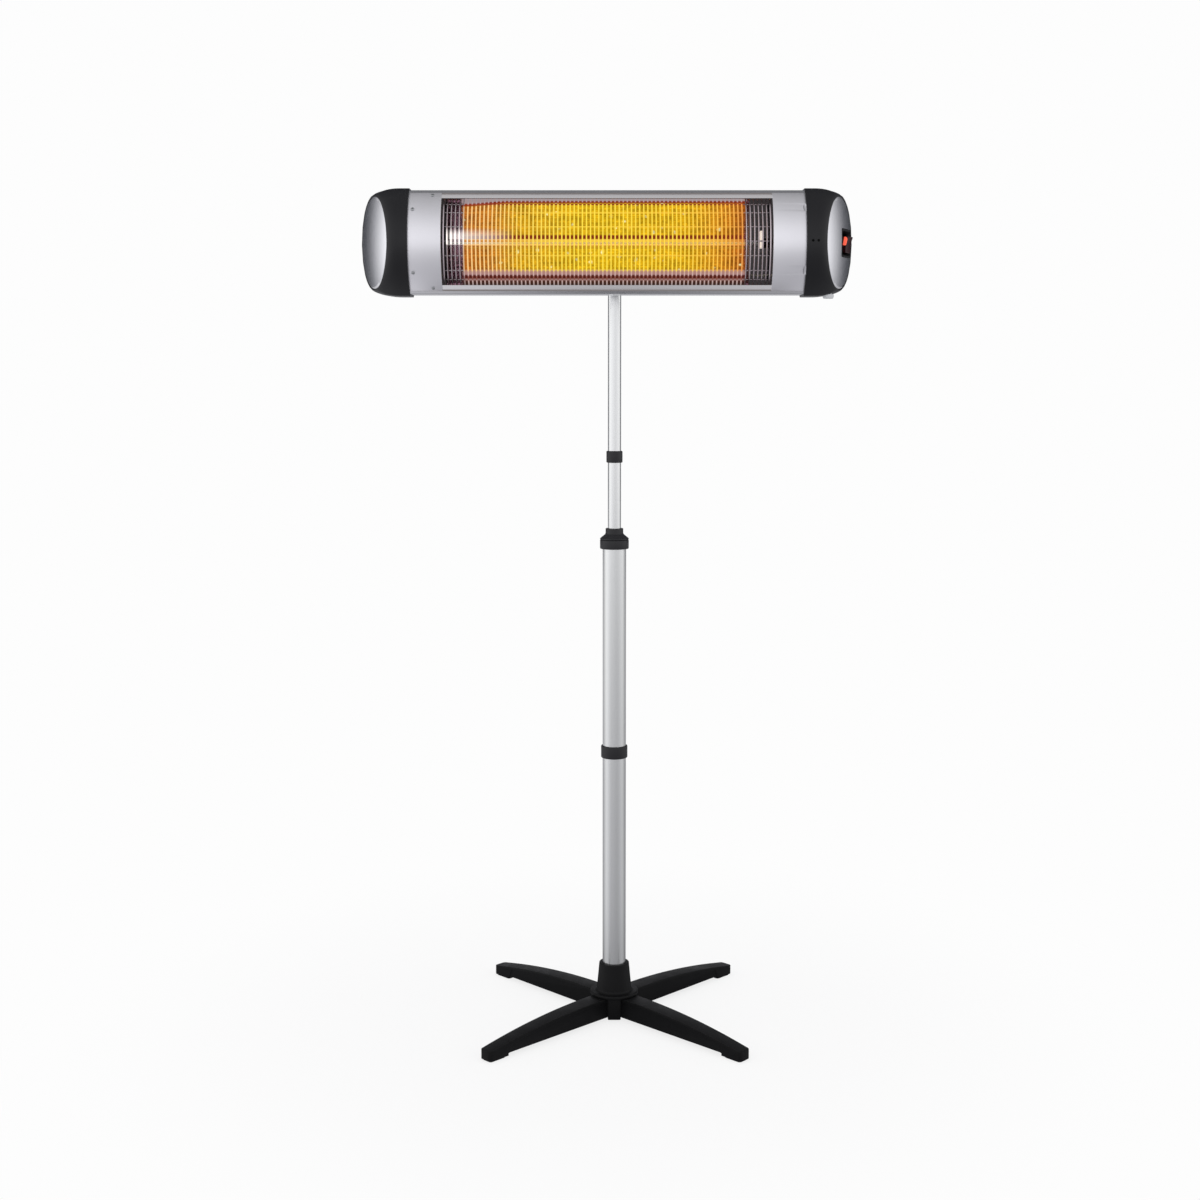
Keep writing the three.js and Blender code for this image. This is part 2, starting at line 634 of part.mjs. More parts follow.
// Straight run between two points, without its last point
function run([x0, y0], [x1, y1], segments) {
  return Array.from({ length: segments }, (_, i) => {
    const share = i / segments;
    return [x0 + (x1 - x0) * share, y0 + (y1 - y0) * share];
  });
}

// The round edge between the front and the top wall
function frontEdge(radius) {
  return arc(edgeCentreForward, edgeCentreHeight, radius, edgeAngle, Math.PI / 2, EDGE_SEGMENTS);
}

// The closed outline of the head body, grown outwards by an offset
function bodyOutline(offset) {
  const back = BODY_BACK_RADIUS;
  const edge = frontEdge(BODY_EDGE_RADIUS + offset);
  const corner = arc(back, halfHeight - back, back + offset, Math.PI / 2, Math.PI, CORNER_SEGMENTS);
  const upper = [...edge.slice(0, -1), ...run(edge.at(-1), corner[0], 3), ...corner];
  const lower = upsideDown(upper);
  const front = arc(frontCentre, 0, frontRadius + offset, -edgeAngle, edgeAngle, 12).slice(1, -1);
  return [...front, ...upper, ...run(upper.at(-1), lower[0], 5).slice(1), ...lower];
}

// Housing: a channel with a bead, a rebated lip and a return flange along both front edges
const lipRadius = frontRadius - FASCIA_THICKNESS - GAP;
const guardRadius = frontRadius - GUARD_INSET;
const guardRailRadius = guardRadius + GUARD_RAIL_EXTRA;
const flangeBack = arcForward(guardRailRadius, OPENING_HEIGHT / 2) + GAP;

// Upper half of the channel's outer face, from the flange to the middle of the back
function housingOutside() {
  const lip = OPENING_HEIGHT / 2;
  const back = BODY_BACK_RADIUS;
  const beadEnd = frontRadius * Math.sin(edgeAngle);
  return [
    [flangeBack, lip],
    ...frontArc(lipRadius, lip, RAIL_REBATE_HEIGHT, 2),
    ...frontArc(frontRadius, RAIL_REBATE_HEIGHT, beadEnd, 1).slice(0, -1),
    ...frontEdge(BODY_EDGE_RADIUS),
    ...arc(back, halfHeight - back, back, Math.PI / 2, Math.PI, CORNER_SEGMENTS),
  ];
}

// Upper half of its inner face, from the middle of the back to the flange
function housingInside() {
  const lip = OPENING_HEIGHT / 2 + BODY_WALL;
  const back = BODY_BACK_RADIUS;
  return [
    ...arc(back, halfHeight - back, back - BODY_WALL, Math.PI, Math.PI / 2, CORNER_SEGMENTS),
    ...frontArc(lipRadius - BODY_WALL, halfHeight - BODY_WALL, lip, 2),
    [flangeBack, lip],
  ];
}

function housing() {
  const [outer, inner] = [housingOutside(), housingInside()];
  const outline = [...outer, ...upsideDown(outer), ...upsideDown(inner), ...inner];
  const reach = halfBody + CAP_OVERLAP;
  const holes = [-1, 1].map((side) =>
    bracketScrewHole().translate(POLE_OFFSET + side * BRACKET.screwSpread, HEAD_SETBACK, 0));
  const channel = alongX(outline, -reach, reach);
  return part("housing", cut(channel, ...holes, ...railScrewHoles()), FINISHES.anodised);
}

// Fascia screws: two rows on the left plate

const FASCIA_SCREW = { radius: 1.4, headRadius: 2.6, headHeight: 1.2, length: 5 };
const railScrewHeight = (RAIL_REBATE_HEIGHT + OPENING_HEIGHT / 2) / 2;
const FASCIA_SCREW_HEIGHT = 45;
const FASCIA_SCREW_INSET = 7;
const RAIL_SCREW_INSET = 13;

const fasciaScrews = [
  { name: "fascia_screw_upper_outer", x: FASCIA_SCREW_INSET - halfBody, height: FASCIA_SCREW_HEIGHT },
  { name: "fascia_screw_lower_outer", x: FASCIA_SCREW_INSET - halfBody, height: -FASCIA_SCREW_HEIGHT },
  { name: "fascia_screw_upper_inner", x: -halfOpening - RAIL_SCREW_INSET, height: railScrewHeight },
  { name: "fascia_screw_lower_inner", x: -halfOpening - RAIL_SCREW_INSET, height: -railScrewHeight },
];

// Puts a body made along +Z on the front, at a distance out from the front's surface
function onFront(geometry, x, height, distance) {
  const angle = Math.asin(height / frontRadius);
  const radius = frontRadius + distance;
  const leaning = geometry.rotateX(Math.PI / 2 - angle);
  return leaning.translate(x, -(frontCentre + radius * Math.cos(angle)), radius * Math.sin(angle));
}

function fasciaScrewHole({ x, height }) {
  const depth = FASCIA_SCREW.length + OVERRUN;
  return onFront(rod(FASCIA_SCREW.radius + GAP, -depth, OVERRUN, SCREW_SIDES), x, height, 0);
}

const railScrewHoles = () => fasciaScrews.slice(2).map(fasciaScrewHole);

function fasciaScrewPart(place) {
  return part(place.name, onFront(screw(FASCIA_SCREW), place.x, place.height, GAP), FINISHES.steel);
}

function fascia(name, side) {
  const top = RAIL_REBATE_HEIGHT - GAP;
  const outline = [
    ...frontArc(frontRadius, -top, top, 16),
    ...frontArc(frontRadius - FASCIA_THICKNESS, top, -top, 16),
  ];
  const plate = alongX(outline, halfOpening, halfBody + CAP_OVERLAP);
  const placed = side < 0 ? mirrored(plate) : plate;
  const drilled = side < 0 ? cut(placed, ...fasciaScrews.map(fasciaScrewHole)) : placed;
  return part(name, drilled, FINISHES.anodised);
}

// Bulkheads close the lamp chamber and hold the outer fascia screws

const BULKHEAD_TAB = { width: 16, thickness: 2, halfHeight: 6 };
const LEAD_HOLE = 4.5;
const leadLane = { forward: 11, up: -45 };

function bulkheadOutline() {
  const inset = BODY_WALL + GAP;
  const [top, back] = [halfHeight - inset, BODY_BACK_RADIUS];
  const front = frontRadius - FASCIA_THICKNESS - GAP;
  const lip = OPENING_HEIGHT / 2 - GAP;
  const innerLip = lipRadius - BODY_WALL - GAP;
  const upper = [
    ...frontArc(front, 0, lip, 8),
    [flangeBack - GAP, lip], [flangeBack - GAP, lip + BODY_WALL + 2 * GAP],
    [arcForward(innerLip, top), top],
    ...arc(back, halfHeight - back, back - inset, Math.PI / 2, Math.PI, CORNER_SEGMENTS),
  ];
  return [...upper, ...upsideDown(upper).slice(0, -1)];
}

function bulkhead(name, side) {
  const x = halfBody - BULKHEAD_INSET;
  const plate = alongX(bulkheadOutline(), x, x + BULKHEAD_SHEET);
  const outerFace = -FASCIA_THICKNESS - GAP;
  const { width, thickness, halfHeight: tall } = BULKHEAD_TAB;
  const tab = (height) =>
    onFront(box(0, width, -tall, tall, -thickness, 0), x, height, outerFace - tabSag());
  const body = join(plate, tab(FASCIA_SCREW_HEIGHT), tab(-FASCIA_SCREW_HEIGHT));
  const sideways = side < 0 ? mirrored(body) : body;
  const holes = [lampLeadHole(), laneLeadHole()];
  const screws = side < 0 ? fasciaScrews.slice(0, 2).map(fasciaScrewHole) : [];
  return part(name, cut(sideways, ...holes, ...screws), FINISHES.steel);
}

// How far a flat tab must sit below the curved plate so that its edges clear it
function tabSag() {
  const radius = frontRadius - FASCIA_THICKNESS - GAP;
  return radius - Math.sqrt(radius ** 2 - BULKHEAD_TAB.halfHeight ** 2);
}

const acrossHead = (radius, forward, up) =>
  lieAlongX(rod(radius, -halfBody - OVERRUN, halfBody + OVERRUN, SMALL_SIDES)).translate(0, -forward, up);
const lampLeadHole = () => acrossHead(LEAD_HOLE, LAMP_DEPTH, 0);
const laneLeadHole = () => acrossHead(LEAD_HOLE, leadLane.forward, leadLane.up);

// Reflector

const reflectorLeft = -halfOpening + REFLECTOR_LEFT_INSET;
const reflectorRight = halfOpening - REFLECTOR_RIGHT_INSET;

// The trough is a parabola; its focus lies near the lamp
function reflectorCurve(sheet, segments) {
  const depth = REFLECTOR_MOUTH - REFLECTOR_BACK;
  return Array.from({ length: segments + 1 }, (_, i) => {
    const share = (2 * i) / segments - 1;
    return [REFLECTOR_BACK + depth * share ** 2 - sheet, (REFLECTOR_HALF_HEIGHT + sheet) * share];
  });
}

function reflector() {
  const top = halfHeight - BODY_WALL - GAP;
  const inside = reflectorCurve(0, 16);
  const outside = reflectorCurve(REFLECTOR_SHEET, 16).reverse();
  const outline = [
    [REFLECTOR_MOUTH, -top], ...inside, [REFLECTOR_MOUTH, top],
    [REFLECTOR_MOUTH - REFLECTOR_SHEET, top], ...outside, [REFLECTOR_MOUTH - REFLECTOR_SHEET, -top],
  ];
  return part("reflector", alongX(outline, reflectorLeft, reflectorRight), FINISHES.mirror);
}

function reflectorEnd(name, x0) {
  const top = halfHeight - BODY_WALL - GAP;
  const back = BODY_BACK_RADIUS;
  const inside = back - BODY_WALL - GAP;
  const corner = arc(back, halfHeight - back, inside, Math.PI / 2, Math.PI, CORNER_SEGMENTS);
  const outline = [[REFLECTOR_MOUTH, -top], [REFLECTOR_MOUTH, top], ...corner, ...upsideDown(corner)];
  const plate = alongX(outline, x0, x0 + REFLECTOR_SHEET);
  const lampHole = acrossHead(LAMP_TUBE_RADIUS + REFLECTOR_SHEET, LAMP_DEPTH, 0);
  return part(name, cut(plate, lampHole, laneLeadHole()), FINISHES.mirror);
}

// Lamp

const lampLeft = -halfOpening - LAMP_HIDDEN_LEFT;
const lampRight = halfOpening - LAMP_SHORT_RIGHT;
const onLampAxis = (geometry) => lieAlongX(geometry).translate(0, -LAMP_DEPTH, 0);
const LAMP_CAP = { spigot: 5, leadBore: 1.9 };

function lampTube() {
  const glass = ring(LAMP_TUBE_RADIUS - LAMP_TUBE_WALL, LAMP_TUBE_RADIUS, lampLeft, lampRight, SMALL_SIDES);
  return part("lamp_tube", onLampAxis(glass), FINISHES.quartz);
}

// The coil is thick where it glows and a thin tail runs into each ceramic cap
function lampFilament() {
  const [glowLeft, glowRight] = [-halfOpening + GLOW_LEFT_INSET, halfOpening - GLOW_RIGHT_INSET];
  const tail = FILAMENT_RADIUS / 2;
  const [left, right] = [lampLeft + LAMP_CAP.spigot + GAP, lampRight - LAMP_CAP.spigot - GAP];
  const coil = turned([
    [0, left], [tail, left], [tail, glowLeft], [FILAMENT_RADIUS, glowLeft], [FILAMENT_RADIUS, glowRight],
    [tail, glowRight], [tail, right], [0, right],
  ], SMALL_SIDES);
  return part("lamp_filament", onLampAxis(coil), FINISHES.glow);
}

// Ceramic cap with its spigot in the tube and a short bore for the lead at its far end
function lampCap(name, end, side) {
  const spigot = LAMP_TUBE_RADIUS - LAMP_TUBE_WALL - GAP;
  const flangeEnd = GAP + CERAMIC_FLANGE;
  const bodyEnd = flangeEnd + CERAMIC_BODY_LENGTH;
  const cap = turned([
    [0, -LAMP_CAP.spigot], [spigot, -LAMP_CAP.spigot], [spigot, GAP], [CERAMIC_RADIUS, GAP],
    [CERAMIC_RADIUS, flangeEnd], [CERAMIC_BODY_RADIUS, flangeEnd], [CERAMIC_BODY_RADIUS, bodyEnd],
    [LAMP_CAP.leadBore, bodyEnd], [LAMP_CAP.leadBore, flangeEnd], [0, flangeEnd],
  ], SMALL_SIDES);
  const placed = side < 0 ? cap.scale(1, 1, -1) : cap;
  return part(name, onLampAxis(placed.translate(0, 0, end)), FINISHES.ceramic);
}

const HOLDER = { sheet: 1.5, halfHeight: 11, reach: 44, foot: 12, setback: 3 };

// A bent clip: its foot lies on the back wall and its fork holds the ceramic body
function lampHolder(name, end, side) {
  const start = GAP + CERAMIC_FLANGE + HOLDER.setback;
  const back = BODY_WALL + GAP;
  const face = start + HOLDER.sheet;
  const tall = HOLDER.halfHeight;
  const blade = box(start, face, -HOLDER.reach, -back, -tall, tall);
  const foot = box(start - HOLDER.foot, face, -back - HOLDER.sheet, -back, -tall, tall);
  const notchRadius = CERAMIC_BODY_RADIUS + GAP;
  const [notchStart, notchEnd] = [start - OVERRUN, face + OVERRUN];
  const notch = lieAlongX(rod(notchRadius, notchStart, notchEnd, SMALL_SIDES));
  const mouth = box(notchStart, notchEnd, -HOLDER.reach - OVERRUN, -LAMP_DEPTH, -notchRadius, notchRadius);
  const clip = cut(join(blade, foot), notch.translate(0, -LAMP_DEPTH, 0), mouth);
  const placed = side < 0 ? mirrored(clip) : clip;
  return part(name, placed.translate(end, 0, 0), FINISHES.steel);
}

// Guard: upright wires between two rails, with cross rods behind them

const guardEnd = halfOpening - GUARD_END_INSET;
const railLow = OPENING_HEIGHT / 2;
const railHigh = railLow + GUARD_RAIL_HEIGHT - 2 * GAP;

function guardRail(side) {
  const inner = guardRadius - WIRE - GUARD_RAIL_EXTRA;
  const outline = [
    ...frontArc(guardRailRadius, railLow, railHigh, 1),
    ...frontArc(inner, railHigh, railLow, 1),
  ];
  return alongX(side < 0 ? upsideDown(outline) : outline, -guardEnd, guardEnd);
}

function guardBar(x, width) {
  const end = (railLow + railHigh) / 2;
  const outline = [
    ...frontArc(guardRadius, -end, end, GUARD_SEGMENTS),
    ...frontArc(guardRadius - WIRE, end, -end, GUARD_SEGMENTS),
  ];
  return alongX(outline, x - width / 2, x + width / 2);
}

function guardWires() {
  const endMiddle = guardEnd - GUARD_END_WIDTH / 2;
  const count = Math.round((2 * endMiddle) / WIRE_PITCH) - 1;
  const pitch = (2 * endMiddle) / (count + 1);
  const wires = Array.from({ length: count }, (_, i) => guardBar(pitch * (i + 1) - endMiddle, WIRE));
  const ends = [-1, 1].map((side) => guardBar(side * endMiddle, GUARD_END_WIDTH));
  return part("guard_wires", join(guardRail(1), guardRail(-1), ...ends, ...wires), FINISHES.wireSteel);
}

// The rods touch the flats of the faceted wires from behind
function guardCrossRods() {
  const sweep = 2 * Math.asin(((railLow + railHigh) / 2) / guardRadius);
  const outer = (guardRadius - WIRE) * Math.cos(sweep / GUARD_SEGMENTS / 2) - GAP;
  const inner = outer - WIRE;
  const end = guardEnd - GUARD_END_WIDTH;
  const middle = [-2, -1, 0, 1, 2].map((step) => step * CROSS_ROD_PITCH);
  const rods = [-EDGE_ROD_HEIGHT, ...middle, EDGE_ROD_HEIGHT].map((height) => {
    const [low, high] = [height - WIRE / 2, height + WIRE / 2];
    return alongX([...frontArc(outer, low, high, 1), ...frontArc(inner, high, low, 1)], -end, end);
  });
  const edge = EDGE_ROD_HEIGHT + WIRE / 2;
  const post = [...frontArc(outer, -edge, edge, 8), ...frontArc(inner, edge, -edge, 8)];
  const posts = [alongX(post, -end, -end + WIRE), alongX(post, end - WIRE, end)];
  return part("guard_cross_rods", join(...posts, ...rods), FINISHES.wireSteel);
}

// End caps and oval trims; u runs back along the slanted end face, n points out of it

const slant = THREE.MathUtils.degToRad(OVAL_SLANT);
const ovalCentre = new THREE.Vector3(halfBody + OVAL_REACH, -OVAL_DEPTH, 0);
const slantBasis = new THREE.Matrix4().makeBasis(
  new THREE.Vector3(Math.sin(slant), Math.cos(slant), 0),
  new THREE.Vector3(0, 0, 1),
  new THREE.Vector3(Math.cos(slant), -Math.sin(slant), 0),
).setPosition(ovalCentre);
const onSlant = (u, v, n) => new THREE.Vector3(u, v, n).applyMatrix4(slantBasis);

// A point of the slanted oval that lies in the same direction as a point of the body outline
function ovalPoint([forward, up], grow, n) {
  const angle = Math.atan2(up, forward - OVAL_DEPTH);
  const [halfWidth, halfTall] = [OVAL_HALF_WIDTH + grow, OVAL_HALF_HEIGHT + grow];
  const across = halfWidth * Math.cos(slant);
  const reach = (across * halfTall) / Math.hypot(halfTall * Math.cos(angle), across * Math.sin(angle));
  return onSlant((-reach * Math.cos(angle)) / Math.cos(slant), reach * Math.sin(angle), n);
}

const CAP_STATION_SHARES = [0.35, 0.6, 0.8, 0.93, 1];
const CAP_INNER_STATION_SHARES = [0.5, 0.85, 1];
const CAP_FULLNESS = 2.4;
const CAP_ROUNDING = 0.75;

// Rings from the straight skirt to the oval, swelling late so that the end is rounded
function capRings(offset, grow, n, shares) {
  const outline = bodyOutline(offset);
  const skirtEnd = halfBody + CAP_OVERLAP + 3 * GAP;
  const skirt = [halfBody, skirtEnd].map((x) =>
    outline.map(([forward, up]) => new THREE.Vector3(x, -forward, up)));
  const swept = shares.map((share) => {
    const drawn = 1 - (1 - share ** CAP_FULLNESS) ** CAP_ROUNDING;
    return outline.map((point, i) => {
      const target = ovalPoint(point, grow, n);
      const start = skirt[1][i];
      return new THREE.Vector3(
        THREE.MathUtils.lerp(start.x, target.x, share),
        THREE.MathUtils.lerp(start.y, target.y, drawn),
        THREE.MathUtils.lerp(start.z, target.z, drawn),
      );
    });
  });
  return [...skirt, ...swept];
}

const capOutside = (offset) =>
  capRings(CAP_WALL + GAP + offset, OVAL_RIM + offset, offset, CAP_STATION_SHARES);

function capShell() {
  const floor = -TRIM_RECESS - CAP_WALL;
  const inside = capRings(GAP, -CAP_WALL / 2, floor, CAP_INNER_STATION_SHARES).reverse();
  const outline = bodyOutline(0);
  const recess = [0, -TRIM_RECESS].map((n) => outline.map((point) => ovalPoint(point, GAP, n)));
  return loft([...inside, ...capOutside(0), ...recess]);
}

const SENSOR = { radius: 1.7, depth: 1.2, first: 8.6, pitch: 7.8 };
const GLAND = {
  shift: 37, forward: 46, flangeRadius: 8, flange: 3, bodyRadius: 5.8, bore: 4.2, inside: 12,
};
const SWITCH = {
  bezelProud: 1.5, bodyWidth: 28, bodyHeight: 31, bodyDepth: 20, wellWidth: 24, wellHalfHeight: 14.4,
  wellDepth: 13, pinRadius: 1.6, pinLength: 1.4, back: 9, crown: 1.4, cornerRise: 10,
};

const glandX = halfBody + GLAND.shift;
const capUnderside = -(halfHeight + CAP_WALL + GAP);

// A round body on the gland's axis
const onGland = (radius, bottom, top, sides) =>
  rod(radius, bottom, top, sides).translate(glandX, -GLAND.forward, 0);

// A block centred on its own +Z
const block = (width, height, bottom, top) =>
  box(-width / 2, width / 2, -height / 2, height / 2, bottom, top);

function sensorPit(i) {
  const front = BODY_DEPTH + CAP_WALL + GAP;
  const pit = rod(SENSOR.radius, front - SENSOR.depth, front + OVERRUN, SCREW_SIDES).rotateX(Math.PI / 2);
  return pit.translate(halfBody + SENSOR.first + i * SENSOR.pitch, 0, 0);
}

function endCap(name, side) {
  if (side < 0) return part(name, mirrored(capShell()), FINISHES.blackCap);
  const sensors = [0, 1].map(sensorPit);
  const glandHole = onGland(
    GLAND.bodyRadius + GAP, capUnderside - OVERRUN, capUnderside + GLAND.inside, SMALL_SIDES,
  );
  const switchHole = onEnd(block(
    SWITCH.bodyWidth + 2 * GAP, SWITCH.bodyHeight + 2 * GAP, -TRIM_RECESS - CAP_WALL - OVERRUN, OVERRUN,
  ));
  return part(name, cut(capShell(), ...sensors, glandHole, switchHole), FINISHES.blackCap);
}

// Puts a body made on the end face, about the switch's middle, in its place
const onEnd = (geometry) => geometry.translate(SWITCH_SHIFT, 0, 0).applyMatrix4(slantBasis);

const TRIM_STATION_SHARES = [0.4, 0.7, 0.92, 1];

// The trim is a shallow dome of even thickness
function trimPlate() {
  const outline = bodyOutline(0);
  const edge = -TRIM_RECESS + GAP + TRIM_SHEET;
  const ringAt = (share, n) => outline.map((point) => {
    const rim = ovalPoint(point, 0, 0);
    const flat = ovalCentre.clone().lerp(rim, share);
    return flat.add(new THREE.Vector3(Math.cos(slant), -Math.sin(slant), 0).multiplyScalar(n));
  });
  const domed = (dome, foot) =>
    TRIM_STATION_SHARES.map((share) => ringAt(share, foot + dome * (1 - share ** 2)));
  const [outside, inside] = [domed(TRIM_DOME, edge), domed(TRIM_DOME - GAP, edge - TRIM_SHEET)];
  return loft([...outside, ...inside.reverse()]);
}

function endTrim(name, side) {
  if (side < 0) return part(name, mirrored(trimPlate()), FINISHES.satinSilver);
  const window = block(
    BEZEL_WIDTH + 2 * GAP, BEZEL_HEIGHT + 2 * GAP, -TRIM_RECESS - OVERRUN, TRIM_DOME + OVERRUN,
  );
  return part(name, cut(trimPlate(), onEnd(window)), FINISHES.satinSilver);
}

// Switch

function switchFrame() {
  const bezel = block(BEZEL_WIDTH, BEZEL_HEIGHT, -TRIM_RECESS + GAP, SWITCH.bezelProud);
  const body = block(SWITCH.bodyWidth, SWITCH.bodyHeight, -SWITCH.bodyDepth, 0);
  const wellTop = SWITCH.bezelProud + OVERRUN;
  const well = block(SWITCH.wellWidth, 2 * SWITCH.wellHalfHeight, -SWITCH.wellDepth, wellTop);
  const reach = SWITCH.wellWidth / 2 + SWITCH.pinLength;
  const sockets = lieAlongX(rod(SWITCH.pinRadius + GAP, -reach, reach, SMALL_SIDES));
  const frame = cut(join(bezel, body), well, sockets.translate(0, 0, -SWITCH.back / 2));
  return part("switch_frame", onEnd(frame), FINISHES.blackPlastic);
}

// Side view of the rocker about its pin, drawn as [up, out]: a round belly and a slightly hollow face
function rockerSide() {
  const [half, rise] = [ROCKER_HALF_HEIGHT, SWITCH.cornerRise];
  const belly = arc(0, 0, SWITCH.back - 3 * GAP, Math.PI, 2 * Math.PI, 8);
  const face = [[half, rise], [0, rise - SWITCH.crown], [-half, rise]];
  const tilt = THREE.MathUtils.degToRad(ROCKER_REST_TILT);
  return [[-half, 0], ...belly, [half, 0], ...face].map(([up, out]) => [
    up * Math.cos(tilt) - out * Math.sin(tilt), up * Math.sin(tilt) + out * Math.cos(tilt),
  ]);
}

function rocker() {
  const half = ROCKER_WIDTH / 2;
  const options = { depth: ROCKER_WIDTH, bevelEnabled: false };
  const side = new THREE.ExtrudeGeometry(shapeOf(rockerSide()), options);
  const across = new THREE.Matrix4().makeBasis(
    new THREE.Vector3(0, 1, 0), new THREE.Vector3(0, 0, 1), new THREE.Vector3(1, 0, 0),
  );
  side.applyMatrix4(across).translate(-half, 0, 0);
  const pinReach = SWITCH.wellWidth / 2 + SWITCH.pinLength - GAP;
  const pin = lieAlongX(rod(SWITCH.pinRadius, -pinReach, pinReach, SMALL_SIDES));
  return part("rocker", onEnd(join(side, pin).translate(0, 0, -SWITCH.back / 2)), FINISHES.rockerRed);
}

// Cable gland under the right cap; its flange is hollowed to fit the cap's curve
function cableGland() {
  const bottom = capUnderside - GLAND.flange;
  const top = capUnderside + GLAND.inside;
  const flange = onGland(GLAND.flangeRadius, bottom, capUnderside + GLAND.flange, ROUND_SIDES);
  const saddle = cut(flange, loft(capOutside(GAP)));
  const body = onGland(GLAND.bodyRadius, bottom, top, SMALL_SIDES);
  const bore = onGland(GLAND.bore, bottom - OVERRUN, top + OVERRUN, SMALL_SIDES);
  return part("cable_gland", cut(join(saddle, body), bore), FINISHES.glandGrey);
}

// Wiring inside the right end

const TERMINAL = { width: 14, height: 34, depth: 18, forward: 25, up: -22 };
const terminalX = halfBody - BULKHEAD_INSET + BULKHEAD_SHEET + GAP;

function terminalBlock() {
  const { width, height, depth, forward, up } = TERMINAL;
  const body = block(width, depth, up - height / 2, up + height / 2);
  return part("terminal_block", body.translate(terminalX + width / 2, -forward, 0), FINISHES.terminalWhite);
}

function lead(name, points, steps) {
  const route = points.map(([x, forward, up]) => new THREE.Vector3(x, -forward, up));
  const extrudePath = new THREE.CatmullRomCurve3(route);
  const section = shapeOf(arc(0, 0, LEAD_RADIUS, 0, 2 * Math.PI, 6).slice(0, -1));
  const geometry = new THREE.ExtrudeGeometry(section, { steps, bevelEnabled: false, extrudePath });
  return part(name, geometry, FINISHES.leadSleeve);
}

const LEAD_BEND = 12;
const terminalFace = terminalX + TERMINAL.width + GAP;

// From the right lamp cap through the bulkhead and back to the terminal block
function rightLead() {
  const start = lampRight + GAP + CERAMIC_FLANGE + GAP;
  const end = terminalFace;
  const entry = TERMINAL.up + LEAD_BEND / 2;
  return lead("lamp_lead_right", [
    [start, LAMP_DEPTH, 0], [start + CERAMIC_BODY_LENGTH, LAMP_DEPTH, 0], [terminalX, LAMP_DEPTH, 0],
    [end + LEAD_BEND, (LAMP_DEPTH + TERMINAL.forward) / 2, TERMINAL.up / 4],
    [end + LEAD_BEND / 2, TERMINAL.forward, entry], [end, TERMINAL.forward, entry],
  ], 20);
}

// From the left lamp cap out and back through the left bulkhead, then behind the reflector to the right
function leftLead() {
  const start = lampLeft - GAP - CERAMIC_FLANGE - GAP;
  const end = terminalFace;
  const entry = TERMINAL.up - LEAD_BEND;
  const lane = (x) => [x, leadLane.forward, leadLane.up];
  return lead("lamp_lead_left", [
    [start, LAMP_DEPTH, 0], [start - CERAMIC_BODY_LENGTH, LAMP_DEPTH, 0], [-terminalX, LAMP_DEPTH, 0],
    [-terminalX - LEAD_BEND, (LAMP_DEPTH + leadLane.forward) / 2, leadLane.up / 2],
    lane(-terminalX), lane(start), lane(lampRight), lane(terminalX),
    [end + LEAD_BEND, (TERMINAL.forward + leadLane.forward) / 2, leadLane.up],
    [end + LEAD_BEND / 2, TERMINAL.forward, entry], [end, TERMINAL.forward, entry],
  ], 56);
}

// Assembly

function group(...children) {
  const members = new THREE.Group();
  members.add(...children);
  return members;
}

function base() {
  const corners = [
    ["front_left", 5], ["front_right", 7], ["rear_left", 3], ["rear_right", 1],
  ].map(([place, eighth]) => [place, (eighth * Math.PI) / 4]);
  return group(
    baseHub(), clampPlate(), baseBolt(), poleSocket(), footPlug(),
    ...corners.map(([place, angle]) => leg(`leg_${place}`, angle)),
    ...corners.map(([place, angle]) => footPad(`foot_pad_${place}`, angle)),
  );
}

function pole() {
  return group(
    thickTube("lower_pole_tube", lowerTubeBottom, LOWER_TUBE_LENGTH),
    tubeJoint("pole_coupling", THICK_JOINT, THICK_TUBE_RADIUS, thickBore, COLLAR.bore, thickJointHeight),
    thickTube("middle_pole_tube", middleTubeBottom, MIDDLE_TUBE_LENGTH),
    collar(), clampCollet(), lockNut(), innerPlug(),
    thinTube("inner_pole_lower", innerTubeBottom, INNER_TUBE_LENGTH),
    tubeJoint("swivel_coupling", THIN_JOINT, THIN_TUBE_RADIUS, thinBore, THIN_JOINT.bore, thinJointHeight),
    thinTube("inner_pole_upper", upperTubeBottom, UPPER_TUBE_LENGTH),
    knuckle(),
  );
}

function tiltJoint() {
  return group(
    tiltBracket(), bracketScrew("bracket_screw_left", -1), bracketScrew("bracket_screw_right", 1),
    tiltBolt(), tiltKnob(),
  );
}

function head() {
  const members = group(
    housing(), fascia("fascia_left", -1), fascia("fascia_right", 1), ...fasciaScrews.map(fasciaScrewPart),
    bulkhead("bulkhead_left", -1), bulkhead("bulkhead_right", 1),
    reflector(), reflectorEnd("reflector_end_left", reflectorLeft - GAP - REFLECTOR_SHEET),
    reflectorEnd("reflector_end_right", reflectorRight + GAP),
    lampTube(), lampFilament(),
    lampCap("lamp_cap_left", lampLeft, -1), lampCap("lamp_cap_right", lampRight, 1),
    lampHolder("lamp_holder_left", lampLeft, -1), lampHolder("lamp_holder_right", lampRight, 1),
    guardWires(), guardCrossRods(),
    endCap("end_cap_left", -1), endCap("end_cap_right", 1),
    endTrim("end_trim_left", -1), endTrim("end_trim_right", 1),
    switchFrame(), rocker(), cableGland(), terminalBlock(), rightLead(), leftLead(),
  );
  members.position.set(0, -HEAD_SETBACK, headHeight);
  return members;
}

const stand = group(base(), pole(), tiltJoint());
stand.position.x = POLE_OFFSET;
export default group(stand, head());
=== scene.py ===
"""Electric patio heater: the looks of a quartz-lamp heater head on a two-diameter pole with four legs.

Lengths are in millimetres until a piece is finished, and in metres from there on. Shapes of the head are
drawn from the middle of its back, its sections as (forward, up), and the stand's about the pole's axis.
"""

import logging
import math
from dataclasses import dataclass, field
from enum import Enum
from functools import partial
from typing import Any, Iterable, Optional, Sequence, Union

